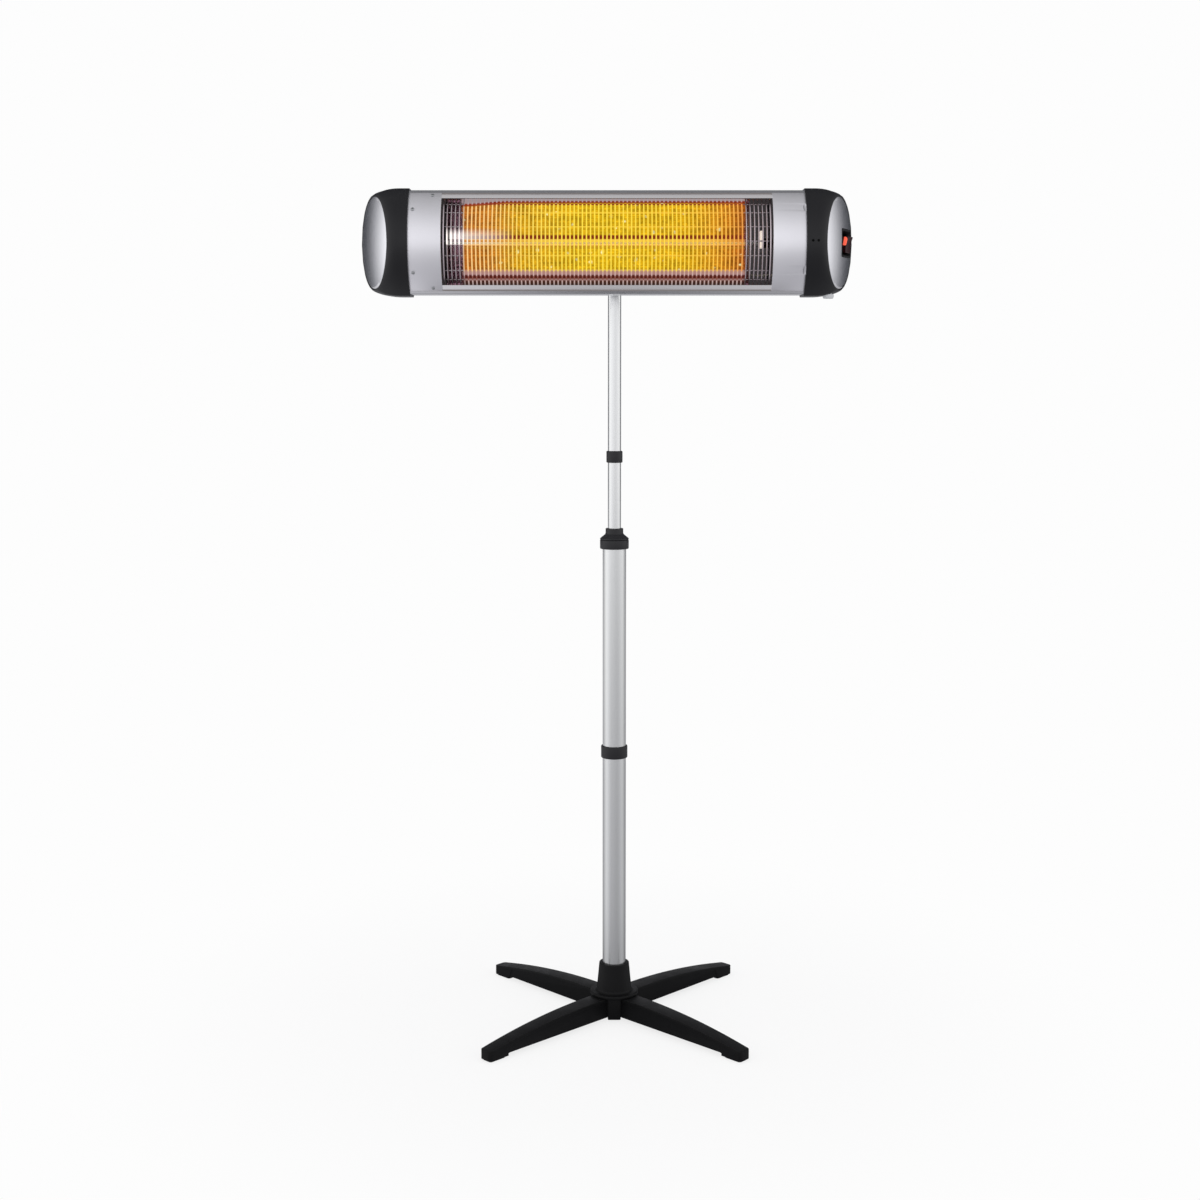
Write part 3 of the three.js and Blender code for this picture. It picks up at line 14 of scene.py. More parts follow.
import bmesh
import bpy
from mathutils import Matrix, Vector


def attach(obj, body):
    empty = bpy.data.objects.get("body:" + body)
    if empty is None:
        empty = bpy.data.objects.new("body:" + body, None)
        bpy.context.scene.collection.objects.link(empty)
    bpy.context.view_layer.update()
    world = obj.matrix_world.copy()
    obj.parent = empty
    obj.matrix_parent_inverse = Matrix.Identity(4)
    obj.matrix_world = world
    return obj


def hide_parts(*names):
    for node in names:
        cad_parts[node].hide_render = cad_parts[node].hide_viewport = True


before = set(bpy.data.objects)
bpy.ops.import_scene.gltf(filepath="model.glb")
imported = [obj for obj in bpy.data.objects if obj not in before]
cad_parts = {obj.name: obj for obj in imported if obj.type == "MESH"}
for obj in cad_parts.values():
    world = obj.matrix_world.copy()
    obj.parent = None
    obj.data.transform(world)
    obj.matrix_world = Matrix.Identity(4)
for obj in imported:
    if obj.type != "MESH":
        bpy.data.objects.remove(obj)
log = logging.getLogger("patio_heater")

Point = tuple[float, float]
Corner = tuple[float, ...]
Stops = tuple[tuple[float, str], ...]
Inputs = Union[dict[str, Any], Sequence[Any]]
Shape = bmesh.types.BMesh
Node = bpy.types.Node
Socket = bpy.types.NodeSocket


def at(x: float, y: float, z: float) -> Matrix:
    """A shift."""
    return Matrix.Translation((x, y, z))


def swung(degrees: float, axis: str) -> Matrix:
    """A turn about an axis through the origin."""
    return Matrix.Rotation(math.radians(degrees), 4, axis)


def scaled(x: float, y: float, z: float) -> Matrix:
    """A stretch along the axes, or a mirror where a factor is -1."""
    return Matrix.Diagonal((x, y, z, 1))


class Body(Enum):
    """The bodies of the frame that pieces ride on."""

    STAND = "stand"
    LOCK_NUT = "lock_nut"
    INNER_POLE = "inner_pole"
    UPPER_POLE = "upper_pole"
    HEAD = "head"
    TILT_KNOB = "tilt_knob"
    ROCKER = "rocker"


class Side(Enum):
    """The two ends of the head, as seen by someone in front of it."""

    LEFT = "left"
    RIGHT = "right"


class Plane(Enum):
    """Where a flat sketch is laid before it is pulled or turned."""

    LEVEL = Matrix.Identity(4)
    SECTION = Matrix(((0, 0, -1, 0), (-1, 0, 0, 0), (0, 1, 0, 0), (0, 0, 0, 1)))
    LATHE = Matrix(((1, 0, 0, 0), (0, 0, -1, 0), (0, 1, 0, 0), (0, 0, 0, 1)))


MM = 0.001
POLE_X = 12.0
HEAD_BACK = 48.0
HEAD_HEIGHT = 1187.3
PIVOT_HEIGHT = 1152.3

ON_POLE = at(POLE_X, 0, 0)
ON_HEAD = at(0, -HEAD_BACK, HEAD_HEIGHT)
ORIGINS = {Body.HEAD: ON_HEAD, Body.ROCKER: ON_HEAD, Body.TILT_KNOB: at(POLE_X, 0, PIVOT_HEIGHT)}
ALONG_X = swung(90, "Y")
FACING_FRONT = swung(90, "X")
MIRRORED = scaled(-1, 1, 1)
FLIPPED = scaled(1, 1, -1)

# The glow, painted light for the lamp's light on the reflector and the guard, in metres along the lamp and
# millimetres up: how soft its ends are and how far up it runs, how much its upper edge sags at the left,
# and where the white streak, a painted reflection, begins and fades
GLOW_FADE = 0.0022
GLOW_HALF_HEIGHT = 62.0
SAG, SAG_END, SAG_HEIGHT = 0.004, -0.14, 40
STREAK_START = (-0.2328, -0.2312)
STREAK_FADE = (-0.214, -0.136)
# The white of the painted streak, the pale yellow of the painted glints, and no light at all
PAINTED_STREAK_WHITE, PAINTED_GLINT_WHITE, NO_LIGHT = "#FFFAF2", "#FFF6B0", "#000000"
# Where a noise pattern has most of its values
NOISE = (0.3, 0.7)

SMOOTH = {"interpolation_type": "SMOOTHSTEP"}
TIMES = {"operation": "MULTIPLY"}
COLOURS = {"data_type": "RGBA"}
TINT = {"data_type": "RGBA", "blend_type": "MULTIPLY"}


# Materials


def linear(code: str) -> tuple[float, float, float, float]:
    """Turns an sRGB hex colour into linear light.

    Args:
        code: the colour as #RRGGBB, or #RRGGBBAA where it covers another one.

    Returns:
        Red, green, blue and alpha.
    """
    channels = [int(code[i : i + 2], 16) / 255 for i in (1, 3, 5)]
    red, green, blue = (c / 12.92 if c <= 0.04045 else ((c + 0.055) / 1.055) ** 2.4 for c in channels)
    return red, green, blue, int(code[7:9] or "FF", 16) / 255


def per_metre(size: float) -> float:
    """The texture scale that gives a pattern cells of a size in millimetres."""
    return 1 / (size * MM)


def emptied(owner: Union[bpy.types.Material, bpy.types.World]) -> bpy.types.NodeTree:
    """Gives a new material or world an empty node tree.

    Args:
        owner: the material or world.

    Returns:
        The node tree.
    """
    owner.use_nodes = True
    owner.node_tree.nodes.clear()
    return owner.node_tree


def feed(socket: Socket, value: Any) -> None:
    """Gives an input its value or its link.

    Args:
        socket: the input.
        value: its value, the output that feeds it, or a node, whose first output in use is taken.
    """
    if isinstance(value, Node):
        value = next(output for output in value.outputs if output.enabled)
    if isinstance(value, Socket):
        socket.id_data.links.new(value, socket)
    else:
        socket.default_value = value


def add_node(
    tree: bpy.types.NodeTree, kind: str, inputs: Inputs = (), stops: Stops = (), **settings: Any
) -> Node:
    """Adds a node with its settings and links.

    Args:
        tree: the node tree.
        kind: the node's type name, without the ShaderNode at its start.
        inputs: what feeds its inputs, by name or in the order of those in use.
        stops: places and hex colours of a colour ramp.
        settings: the node's own attributes.

    Returns:
        The new node.
    """
    node = tree.nodes.new(f"ShaderNode{kind}")
    for name, value in settings.items():
        setattr(node, name, value)
    if isinstance(inputs, dict):
        fed = [(node.inputs[name], value) for name, value in inputs.items()]
    else:
        fed = list(zip([socket for socket in node.inputs if socket.enabled], inputs))
    for socket, value in fed:
        feed(socket, value)
    if stops:
        elements = node.color_ramp.elements
        while len(elements) < len(stops):
            elements.new(1)
        for element, (place, code) in zip(elements, stops):
            element.position, element.color = place, linear(code)
    return node


@dataclass(frozen=True)
class Finish:
    """A surface finish: what the material is and how its surface was made.

    grain is the size of its surface texture, and bump how deep that looks. tone and spread say how much its
    colour and its roughness vary, and cloud how many grains a patch of even gloss spans.
    """

    name: str
    colour: str
    roughness: float
    metallic: float = 0.0
    grain: float = 1.0
    bump: float = 0.1
    tone: float = 0.12
    spread: float = 0.08
    stretch: tuple[float, float, float] = (1, 1, 1)
    specular: float = 0.5
    cloud: float = 18

    def material(self) -> bpy.types.Material:
        """Makes the material once and gives it back from then on.

        Returns:
            The material.
        """
        made = bpy.data.materials.get(self.name)
        if not made:
            made = bpy.data.materials.new(self.name)
            made.diffuse_color = linear(self.colour)
            tree = emptied(made)
            shader = add_node(tree, "BsdfPrincipled", {"Base Color": linear(self.colour)})
            feed(shader.inputs["Roughness"], self.roughness)
            feed(shader.inputs["Metallic"], self.metallic)
            feed(shader.inputs["Specular IOR Level"], self.specular)
            self.dress(add_node(tree, "TexCoord").outputs["Object"], shader)
            add_node(tree, "OutputMaterial", (shader,))
        return made

    def dress(self, place: Socket, shader: Node) -> None:
        """Gives the surface its grain: a fine relief, uneven gloss and a slight change of tone.

        Args:
            place: the object's coordinates, in metres.
            shader: the surface shader.
        """
        add = partial(add_node, shader.id_data)
        laid = add("Mapping", {"Vector": place, "Scale": self.stretch})
        fine = add("TexNoise", (laid, per_metre(self.grain), 4.0, 0.6))
        broad = add("TexNoise", (laid, per_metre(self.grain * self.cloud), 3.0))
        relief = add("Bump", {"Height": fine, "Strength": self.bump, "Distance": self.grain * MM})
        gloss = add("MapRange", (broad, *NOISE, self.roughness - self.spread, self.roughness + self.spread))
        shares = (1 - self.tone, 1 + self.tone)
        tones = [(*(min(c * share, 1.0) for c in linear(self.colour)[:3]), 1.0) for share in shares]
        feed(shader.inputs["Base Color"], add("Mix", (fine, *tones), **COLOURS))
        feed(shader.inputs["Roughness"], gloss)
        feed(shader.inputs["Normal"], relief)


@dataclass(frozen=True)
class LitFinish(Finish):
    """A finish that gives off an even light of its own: a translucent part lit from within, or painted light
    where the lamp's light falls on a surface.
    """

    glow: str = "#FFFFFF"
    strength: float = 0.5

    def dress(self, place: Socket, shader: Node) -> None:
        """Adds the light to the surface's grain.

        Args:
            place: the object's coordinates, in metres.
            shader: the surface shader.
        """
        super().dress(place, shader)
        feed(shader.inputs["Emission Color"], linear(self.glow))
        feed(shader.inputs["Emission Strength"], self.strength)


@dataclass(frozen=True)
class HotFinish(Finish):
    """A finish that glows where it faces the lamp's hot zone: the lamp's own light on its tube and filament,
    and painted light, a painted glow and painted reflections of the lamp, on the reflector and the guard.

    The glow is one run of colours along the lamp, covered by bands up the chamber as far as their alpha says;
    on the reflector and the guard those bands are painted shade and painted highlights. ends are the hot
    zone's two ends in metres, and flare_band the heights, from the lamp's middle and in millimetres, between
    which the white streak beside the lamp's left end, a painted reflection, rises, and falls again.
    """

    along: Stops = ((0.0, "#FFC400"), (1.0, "#FFC400"))
    upward: Stops = ((0.0, "#FFFFFF00"), (1.0, "#FFFFFF00"))
    ends: Point = (-0.2055, 0.197)
    hot_colour: str = "#2A1C0C"
    strength: float = 1.0
    flare: float = 0.0
    flare_band: tuple[float, float, float, float] = (-6.0, -4.0, 8.0, 21.0)

    def dress(self, place: Socket, shader: Node) -> None:
        """Adds the glow to the surface's grain."""
        super().dress(place, shader)
        self.light_up(place, shader)

    def window(self, value: Socket, rise: Point, fall: Point) -> Node:
        """Marks a range of a value: 1 inside and 0 outside, with soft ends.

        Args:
            value: the value.
            rise: where the mark starts to rise and where it is full.
            fall: where it starts to fall and where it is gone.

        Returns:
            The mark.
        """
        add = partial(add_node, value.id_data)
        edges = [add("MapRange", (value, *span), **SMOOTH) for span in (rise, fall[::-1])]
        return add("Math", edges, **TIMES)

    def streak(self, along: Socket, up: Socket) -> Node:
        """The white streak beside the lamp's left end, a painted reflection, strongest outside the hot zone.

        Args:
            along: the place along X, in metres.
            up: the place along Z, in metres.

        Returns:
            How strong it is.
        """
        add = partial(add_node, along.id_data)
        low, full, last, high = (HEAD_HEIGHT * MM + height * MM for height in self.flare_band)
        band = self.window(up, (low, full), (last, high))
        tall = add("Math", (add("MapRange", (along, *STREAK_START)), band), **TIMES)
        return add("Math", (add("MapRange", (along, *STREAK_FADE, self.flare, 0.0)), tall), **TIMES)

    def light_up(
        self, place: Socket, shader: Node, texture: Optional[Node] = None, sparks: Optional[Node] = None
    ) -> None:
        """Lights the surface in the hot zone with a glow: painted light, except on the lamp's own tube and
        filament.

        Args:
            place: the object's coordinates, in metres.
            shader: the surface shader.
            texture: a pattern that the glow is multiplied by.
            sparks: where it turns almost white, in painted glints.
        """
        add = partial(add_node, shader.id_data)
        split = add("SeparateXYZ", (place,))
        along, up = split.outputs["X"], split.outputs["Z"]
        left, right = self.ends
        zone = self.window(along, *((end - GLOW_FADE, end + GLOW_FADE) for end in self.ends))
        colour = add("ValToRGB", (add("MapRange", (along, left, right)),), self.along)
        sag = add("MapRange", (along, left, SAG_END, SAG, 0.0), **SMOOTH)
        above = add("MapRange", (up, HEAD_HEIGHT * MM, (HEAD_HEIGHT + SAG_HEIGHT) * MM))
        raised = add("Math", (sag, above, up), operation="MULTIPLY_ADD")
        heights = [(HEAD_HEIGHT + edge) * MM for edge in (-GLOW_HALF_HEIGHT, GLOW_HALF_HEIGHT)]
        bands = add("ValToRGB", (add("MapRange", (raised, *heights)),), self.upward)
        if sparks:
            colour = add("Mix", (sparks, colour, linear(PAINTED_GLINT_WHITE)), **COLOURS)
        if texture:
            colour = add("Mix", (1.0, colour, texture), **TINT)
        covered = add("Mix", (bands.outputs["Alpha"], colour, bands), **COLOURS)
        lit = add("Mix", (zone, linear(NO_LIGHT), covered), **COLOURS)
        if self.flare:
            lit = add("Mix", (self.streak(along, up), lit, linear(PAINTED_STREAK_WHITE)), **COLOURS)
        links = shader.inputs["Base Color"].links
        cold = links[0].from_socket if links else linear(self.colour)
        feed(shader.inputs["Base Color"], add("Mix", (zone, cold, linear(self.hot_colour)), **COLOURS))
        feed(shader.inputs["Emission Color"], lit)
        feed(shader.inputs["Emission Strength"], self.strength)


@dataclass(frozen=True)
class HammeredMirror(HotFinish):
    """Polished aluminium sheet with a hammered pattern, whose reflection of the lamp's light is painted on
    as a glow.

    Each pattern has its cells' size, and a range of its values with the painted light that they give.
    """

    dimple: float = 4.4
    dimple_depth: float = 0.0012
    dimple_light: Corner = (0.05, 0.65, 1.16, 0.62)
    row: float = 4.0
    row_light: Corner = (0.0, 1.0, 0.84, 1.1)
    patch: float = 15
    patch_light: Corner = (0.36, 0.64, 0.62, 1.2)
    spark: float = 17.0
    spark_light: Corner = (0.2, 0.08, 0.0, 0.85)
    warp: float = 0.012

    def dress(self, place: Socket, shader: Node) -> None:
        """Gives the sheet its dimples, which break the painted glow into cells and throw painted glints.

        Args:
            place: the object's coordinates, in metres.
            shader: the surface shader.
        """
        add = partial(add_node, shader.id_data)
        dimpled = {"Vector": place, "Scale": per_metre(self.dimple), "Randomness": 0.55}
        dimples = add("TexVoronoi", dimpled, feature="SMOOTH_F1")
        relief = add("Bump", {"Height": dimples, "Strength": 0.5, "Distance": self.dimple_depth})
        feed(shader.inputs["Normal"], relief)
        cells = add("MapRange", (dimples, *self.dimple_light))
        cloud = add("TexNoise", (place, per_metre(self.patch), 6.0, 0.68))
        uneven = add("MapRange", (cloud, *self.patch_light))
        rows = add("TexWave", (place, per_metre(self.row) / 2, 1.2, 2.0), bands_direction="Z").outputs["Fac"]
        ruled = add("MapRange", (rows, *self.row_light))
        shift = (cloud.outputs["Color"], (self.warp,) * 3, place)
        warped = add("VectorMath", shift, operation="MULTIPLY_ADD")
        spots = add("TexVoronoi", (warped, per_metre(self.spark)))
        sparks = add("MapRange", (spots, *self.spark_light), **SMOOTH)
        pattern = add("Math", (add("Math", (cells, uneven), **TIMES), ruled), **TIMES)
        self.light_up(place, shader, pattern, sparks)


@dataclass(frozen=True)
class QuartzGlass(HotFinish):
    """Drawn quartz tube, clear, filled with the filament's light in the hot zone."""

    refraction: float = 1.46
    ripple_depth: float = 0.0005

    def dress(self, place: Socket, shader: Node) -> None:
        """Makes the tube clear, with a faint ripple, and lights it in the hot zone.

        Args:
            place: the object's coordinates, in metres.
            shader: the surface shader.
        """
        add = partial(add_node, shader.id_data)
        feed(shader.inputs["Transmission Weight"], 1.0)
        feed(shader.inputs["IOR"], self.refraction)
        ripple = add("TexNoise", (place, per_metre(self.grain), 2.0))
        relief = add("Bump", {"Height": ripple, "Strength": self.bump, "Distance": self.ripple_depth})
        feed(shader.inputs["Normal"], relief)
        self.light_up(place, shader, add("MapRange", (ripple, *NOISE, 0.8, 1.2)))


# Satin anodised extrusion: a soft silver sheen with faint die lines along the housing
HOUSING_ALUMINIUM = Finish(
    "Anodised_aluminium_extruded", "#D6D6DA", 0.27, 1.0, 0.45, 0.002, 0.02, 0.012, (0.006, 1, 1)
)
# The same extrusion round the mouth, with painted light: a faint glow stands in for the lamp's light falling
# on it
HOUSING_LIP = LitFinish(
    "Anodised_aluminium_lip_painted_light", "#D6D6DA", 0.32, 1.0, 0.9, 0.008, 0.02, 0.015, (0.02, 1, 1),
    glow="#F0E8E6", strength=0.19,
)  # fmt: skip
# The inside of the extrusion: painted shade, dark as the shaded channel, with a faint painted glow of the
# lamp's light
HOUSING_INSIDE = LitFinish(
    "Anodised_aluminium_inside_painted_shade", "#3C383E", 0.5, 1.0, 1.2, 0.04, 0.12, 0.06,
    glow="#E4DADA", strength=0.04,
)  # fmt: skip
# Satin anodised sheet: the same silver, even and faintly grained
FASCIA_ALUMINIUM = Finish("Anodised_aluminium_sheet", "#E6E5EA", 0.4, 1.0, 0.7, 0.03, 0.03, 0.02)
# Drawn aluminium tube: bright satin with lines along its length
POLE_ALUMINIUM = Finish("Drawn_aluminium_tube", "#DEDFDF", 0.24, 1.0, 0.8, 0.01, 0.02, 0.02, (1, 1, 0.02))
# Silver lacquer over ABS: fine flakes under a soft gloss
TRIM_LACQUER = Finish("Silver_lacquered_ABS", "#E6E6EA", 0.22, 1.0, 0.5, 0.008, 0.05, 0.02)
# Glass-filled nylon with a spark-eroded grain: almost black, dull, with a soft sheen on its curves
CAP_NYLON = Finish("Glass_filled_nylon_grained", "#0D0D11", 0.36, 0.0, 0.8, 0.1, 0.15, 0.05, specular=0.32)
# Polypropylene moulding, fine grain: black with a mild gloss
BLACK_PLASTIC = Finish("Polypropylene_moulded", "#17171A", 0.38, 0.0, 0.6, 0.06, 0.15, 0.05, specular=0.38)
# The switch frame: a finer, darker moulding that shows as a black pocket
SWITCH_BLACK = Finish("Polyamide_moulded_fine", "#0C0C0E", 0.4, 0.0, 0.6, 0.05, 0.15, 0.05, specular=0.2)
# Powder-coated cast iron: matte black with a fine orange peel
BASE_PAINT = Finish("Cast_iron_powder_coated", "#0D0D0E", 0.5, 0.0, 1.4, 0.14, 0.15, 0.06, specular=0.16)
# Vulcanised rubber: dead flat black
PAD_RUBBER = Finish("Vulcanised_rubber", "#0C0C0D", 0.85, 0.0, 0.8, 0.2, 0.15, 0.05, specular=0.15)
# Zinc-plated steel: grey with a cloudy passivation
ZINC_STEEL = Finish("Zinc_plated_steel", "#A9ABAD", 0.38, 1.0, 1.2, 0.05, 0.15, 0.08)
# Steel sheet inside the lamp chamber, painted nearly black as painted shade, with a dull shine
CHAMBER_STEEL = Finish("Steel_sheet_painted_shade", "#211F25", 0.5, 1.0, 1.2, 0.05, 0.15, 0.08)
# Galvanised sheet at the lamp's right end: painted shade, a mid grey, with a faint painted glow of the lamp
END_SHEET = LitFinish(
    "Galvanised_sheet_painted_shade_and_glow", "#66646A", 0.5, 1.0, 1.2, 0.05, 0.15, 0.08, glow="#E4DADA", strength=0.04
)
# Stainless wire, heat tinted in the hot zone: grey at the ends, with the lamp's yellow light in front of it
# painted on as a glow, painted bands of shade and highlight up the chamber and a painted white streak
GUARD_WIRE = HotFinish(
    "Stainless_wire_heat_tinted_painted_glow", "#C6BABF", 0.34, 1.0, 0.8, 0.05, 0.12, 0.06,
    along=(
        (0.0, "#FFD08C"), (0.1, "#FFD488"), (0.2, "#FFDE64"), (0.4, "#FFE44C"), (0.78, "#FFDC4C"),
        (0.94, "#FFC050"), (1.0, "#E89A50"),
    ),
    # Bands up the chamber: painted shade in the dark rows and painted highlights in the pale ones
    upward=(
        (0.0, "#8E8484FF"), (0.05, "#C4A8A2FF"), (0.066, "#865048FF"), (0.1, "#865048FF"),
        (0.115, "#CCACA8FF"), (0.15, "#CCA898FF"), (0.168, "#CCA89800"), (0.93, "#A8402000"),
        (0.942, "#A84020FF"), (0.954, "#A84020FF"), (0.966, "#B4A4A6FF"), (1.0, "#989094FF"),
    ),
    flare=0.95,
)  # fmt: skip
# The cross rods behind the wires: the same steel, with a painted glow nearer to the lamp's orange and
# painted bands of shade
GUARD_ROD = HotFinish(
    "Stainless_rod_heat_tinted_painted_glow", "#A2989C", 0.34, 1.0, 0.8, 0.05, 0.12, 0.06,
    along=(
        (0.0, "#BE7226"), (0.16, "#CC8828"), (0.28, "#EAC03A"), (0.5, "#F2C83C"), (0.85, "#ECB43A"),
        (1.0, "#C4742E"),
    ),
    upward=(
        (0.0, "#7E6260FF"), (0.15, "#A88480FF"), (0.2, "#A8848000"), (0.9, "#8E3A2400"),
        (0.925, "#8E3A24FF"), (1.0, "#8E3A24FF"),
    ),
)  # fmt: skip
# Hammered mirror sheet: a painted reflection of the lamp, its glow broken into painted highlights and
# crossed by painted bands of shade
REFLECTOR_SHEET = HammeredMirror(
    "Aluminium_mirror_painted_reflection", "#82606F", 0.16, 1.0,
    along=(
        (0.0, "#C06C24"), (0.1, "#CC7E26"), (0.2, "#E2A81C"), (0.5, "#F0C01A"), (0.8, "#E8B018"),
        (0.93, "#D4841C"), (1.0, "#A85418"),
    ),
    # Bands up the trough: painted shade in the dark rows and painted highlights in the pale ones
    upward=(
        (0.03, "#2E1C1CFF"), (0.06, "#4A2A26FF"), (0.078, "#A87C74FF"), (0.0935, "#4E1A18FF"),
        (0.126, "#4E1A18FF"), (0.142, "#A87E7CFF"), (0.182, "#AC8070FF"), (0.2, "#AC807000"),
        (0.44, "#B8842800"), (0.456, "#B8842890"), (0.54, "#B8842890"), (0.556, "#7E2C1400"),
        (0.567, "#7E2C14FF"), (0.601, "#7E2C14FF"), (0.612, "#7E2C1400"), (0.954, "#7E241000"),
        (0.966, "#7E2410FF"), (0.979, "#7E2410FF"), (0.988, "#A08E90FF"),
    ),
    ends=(-0.2103, 0.2021), flare=0.5, flare_band=(6.0, 8.0, 12.0, 24.0),
)  # fmt: skip
# Quartz tube: clear glass, pale where the filament burns, with a painted shade line along its lower edge
# and a painted white streak
LAMP_QUARTZ = QuartzGlass(
    "Quartz_tube_drawn", "#FFFFFF", 0.04, 0.0, 2.5, 0.1,
    along=((0.0, "#FFE0A0"), (0.3, "#FFE48C"), (0.9, "#FFDC80"), (1.0, "#F0A850")),
    upward=((0.455, "#1A1404FF"), (0.466, "#1A1404FF"), (0.474, "#1A140400"), (1.0, "#1A140400")),
    ends=(-0.2089, 0.2006), hot_colour="#F4E6C0", strength=0.125,
    flare=0.75, flare_band=(-3.0, -1.5, 2.0, 3.5),
)  # fmt: skip
# Tungsten filament at yellow heat
FILAMENT = HotFinish(
    "Tungsten_coil_glowing", "#6A6460", 0.5, 1.0, 0.6, 0.05,
    along=((0.0, "#F4DCA0"), (1.0, "#F4D080")), ends=(-0.2089, 0.2006), strength=0.37,
)  # fmt: skip
# Steatite ceramic, pressed and fired: off-white and chalky, with a painted glow for the lamp's light beside
# it
LAMP_CERAMIC = LitFinish(
    "Steatite_ceramic_fired_painted_glow", "#EFE8E0", 0.62, 0.0, 0.9, 0.1, 0.05, 0.05, glow="#F4ECE6", strength=0.5
)
# Smoked polycarbonate: a deep red that looks black, with a high gloss
ROCKER_RED = Finish("Polycarbonate_smoked_red", "#26080C", 0.22, 0.0, 1.5, 0.01, 0.06, 0.03, specular=0.25)
# Clear red polycarbonate with the switch's lamp behind it
ROCKER_LENS = LitFinish(
    "Polycarbonate_lit_from_within", "#D84A38", 0.3, 0.0, 1.5, 0.02, 0.06, 0.03, glow="#FF6A50", strength=0.75
)
# Nylon gland, moulded, light grey
GLAND_NYLON = Finish("Nylon_moulded_grey", "#C9CACC", 0.45, 0.0, 0.7, 0.06, 0.06, 0.05)
# Nylon block and collet, natural white
WHITE_NYLON = Finish("Nylon_moulded_natural", "#DEDDD6", 0.48, 0.0, 0.7, 0.06, 0.06, 0.05)
# Braided glass sleeve over the lamp leads, varnished
LEAD_SLEEVE = Finish("Glass_fibre_sleeve_braided", "#C9C4B4", 0.66, 0.0, 0.5, 0.3, 0.15, 0.05)


# Making shapes


def bevelled(bm: Shape, geom: list, width: float, segments: int, affect: str = "EDGES", **how: Any) -> Shape:
    """Rounds edges or corners.

    Args:
        bm: the shape.
        geom: the edges, or the vertices.
        width: the width of the rounding.
        segments: faces or edges across it.
        affect: EDGES or VERTICES.
        how: the operator's other settings.

    Returns:
        The same shape.
    """
    how = {"offset": width, "offset_type": "OFFSET", "profile": 0.5, "material": -1, **how}
    bmesh.ops.bevel(bm, geom=geom, segments=segments, affect=affect, **how)
    return bm


def spun(bm: Shape, geom: list, degrees: float, steps: int, **how: Any) -> list[Any]:
    """Spins geometry, about +Z through the origin unless told otherwise.

    Args:
        bm: the shape.
        geom: what is spun.
        degrees: how far.
        steps: in how many steps.
        how: the operator's other settings.

    Returns:
        What the last step made.
    """
    how = {"cent": (0, 0, 0), "axis": (0, 0, 1), "use_merge": False, "use_duplicate": False, **how}
    return bmesh.ops.spin(bm, geom=geom, angle=math.radians(degrees), steps=steps, **how)["geom_last"]


def only(kind: type, items: Iterable[Any]) -> list[Any]:
    """The items of one kind among an operator's results."""
    return [item for item in items if isinstance(item, kind)]


def tidy(bm: Shape) -> Shape:
    """Merges doubles and turns the faces outwards.

    Args:
        bm: the shape.

    Returns:
        The same shape.
    """
    bmesh.ops.remove_doubles(bm, verts=bm.verts[:], dist=0.001)
    bmesh.ops.recalc_face_normals(bm, faces=bm.faces[:])
    return bm


def moved(bm: Shape, *steps: Matrix) -> Shape:
    """Places a shape.

    Args:
        bm: the shape.
        steps: the matrices that place it, the last one being the innermost.

    Returns:
        The same shape.
    """
    whole = Matrix.Identity(4)
    for step in steps:
        whole = whole @ step
    bmesh.ops.transform(bm, matrix=whole, verts=bm.verts[:])
    if whole.determinant() < 0:
        bmesh.ops.reverse_faces(bm, faces=bm.faces[:])
    return bm


class Sketch:
    """A flat wire: straight runs pull the tip along, arcs spin it round a centre."""

    def __init__(self, start: Point, *corners: Corner) -> None:
        """Starts the wire.

        Args:
            start: its first point.
            corners: where straight runs from there end, as in the next method.
        """
        self.bm = bmesh.new()
        self.start = bmesh.ops.create_vert(self.bm, co=(*start, 0))["vert"][0]
        self.tip = self.start
        self.rounded: list[tuple[bmesh.types.BMVert, float]] = []
        self.to(*corners)

    def to(self, *corners: Corner) -> "Sketch":
        """Draws straight runs.

        Args:
            corners: where each run ends, and how much that corner is rounded, if at all.

        Returns:
            The sketch.
        """
        for x, y, *radius in corners:
            self.tip = bmesh.ops.extrude_vert_indiv(self.bm, verts=[self.tip])["verts"][0]
            self.tip.co = (x, y, 0)
            self.rounded += [(self.tip, size) for size in radius]
        return self

    def arc(self, centre: Point, degrees: float, steps: int) -> "Sketch":
        """Draws an arc.

        Args:
            centre: its centre.
            degrees: how far it turns, anticlockwise.
            steps: how many edges it has.

        Returns:
            The sketch.
        """
        self.tip = spun(self.bm, [self.tip], degrees, steps, cent=(*centre, 0))[0]
        return self

    def close(self) -> "Sketch":
        """Joins the tip to the start."""
        bmesh.ops.contextual_create(self.bm, geom=[self.tip, self.start])
        return self

    def laid(self, plane: Plane, segments: int = 4) -> Shape:
        """Rounds the marked corners and lays the wire in its plane.

        Args:
            plane: where it is laid.
            segments: edges in each rounded corner.

        Returns:
            The wire.
        """
        for radius in sorted({radius for _, radius in self.rounded}):
            verts = [vert for vert, size in self.rounded if size == radius]
            bevelled(self.bm, verts, radius, segments, "VERTICES")
        return moved(self.bm, plane.value)


def pulled(sketch: Sketch, plane: Plane, along: tuple[float, float, float]) -> Shape:
    """Fills a closed sketch and pulls it into a solid.

    Args:
        sketch: the closed outline.
        plane: where it is laid.
        along: how far and which way it is pulled.

    Returns:
        The solid.
    """
    bm = sketch.laid(plane)
    bmesh.ops.contextual_create(bm, geom=bm.edges[:])
    grown = bmesh.ops.extrude_face_region(bm, geom=bm.faces[:])
    bmesh.ops.translate(bm, vec=along, verts=only(bmesh.types.BMVert, grown["geom"]))
    return tidy(bm)


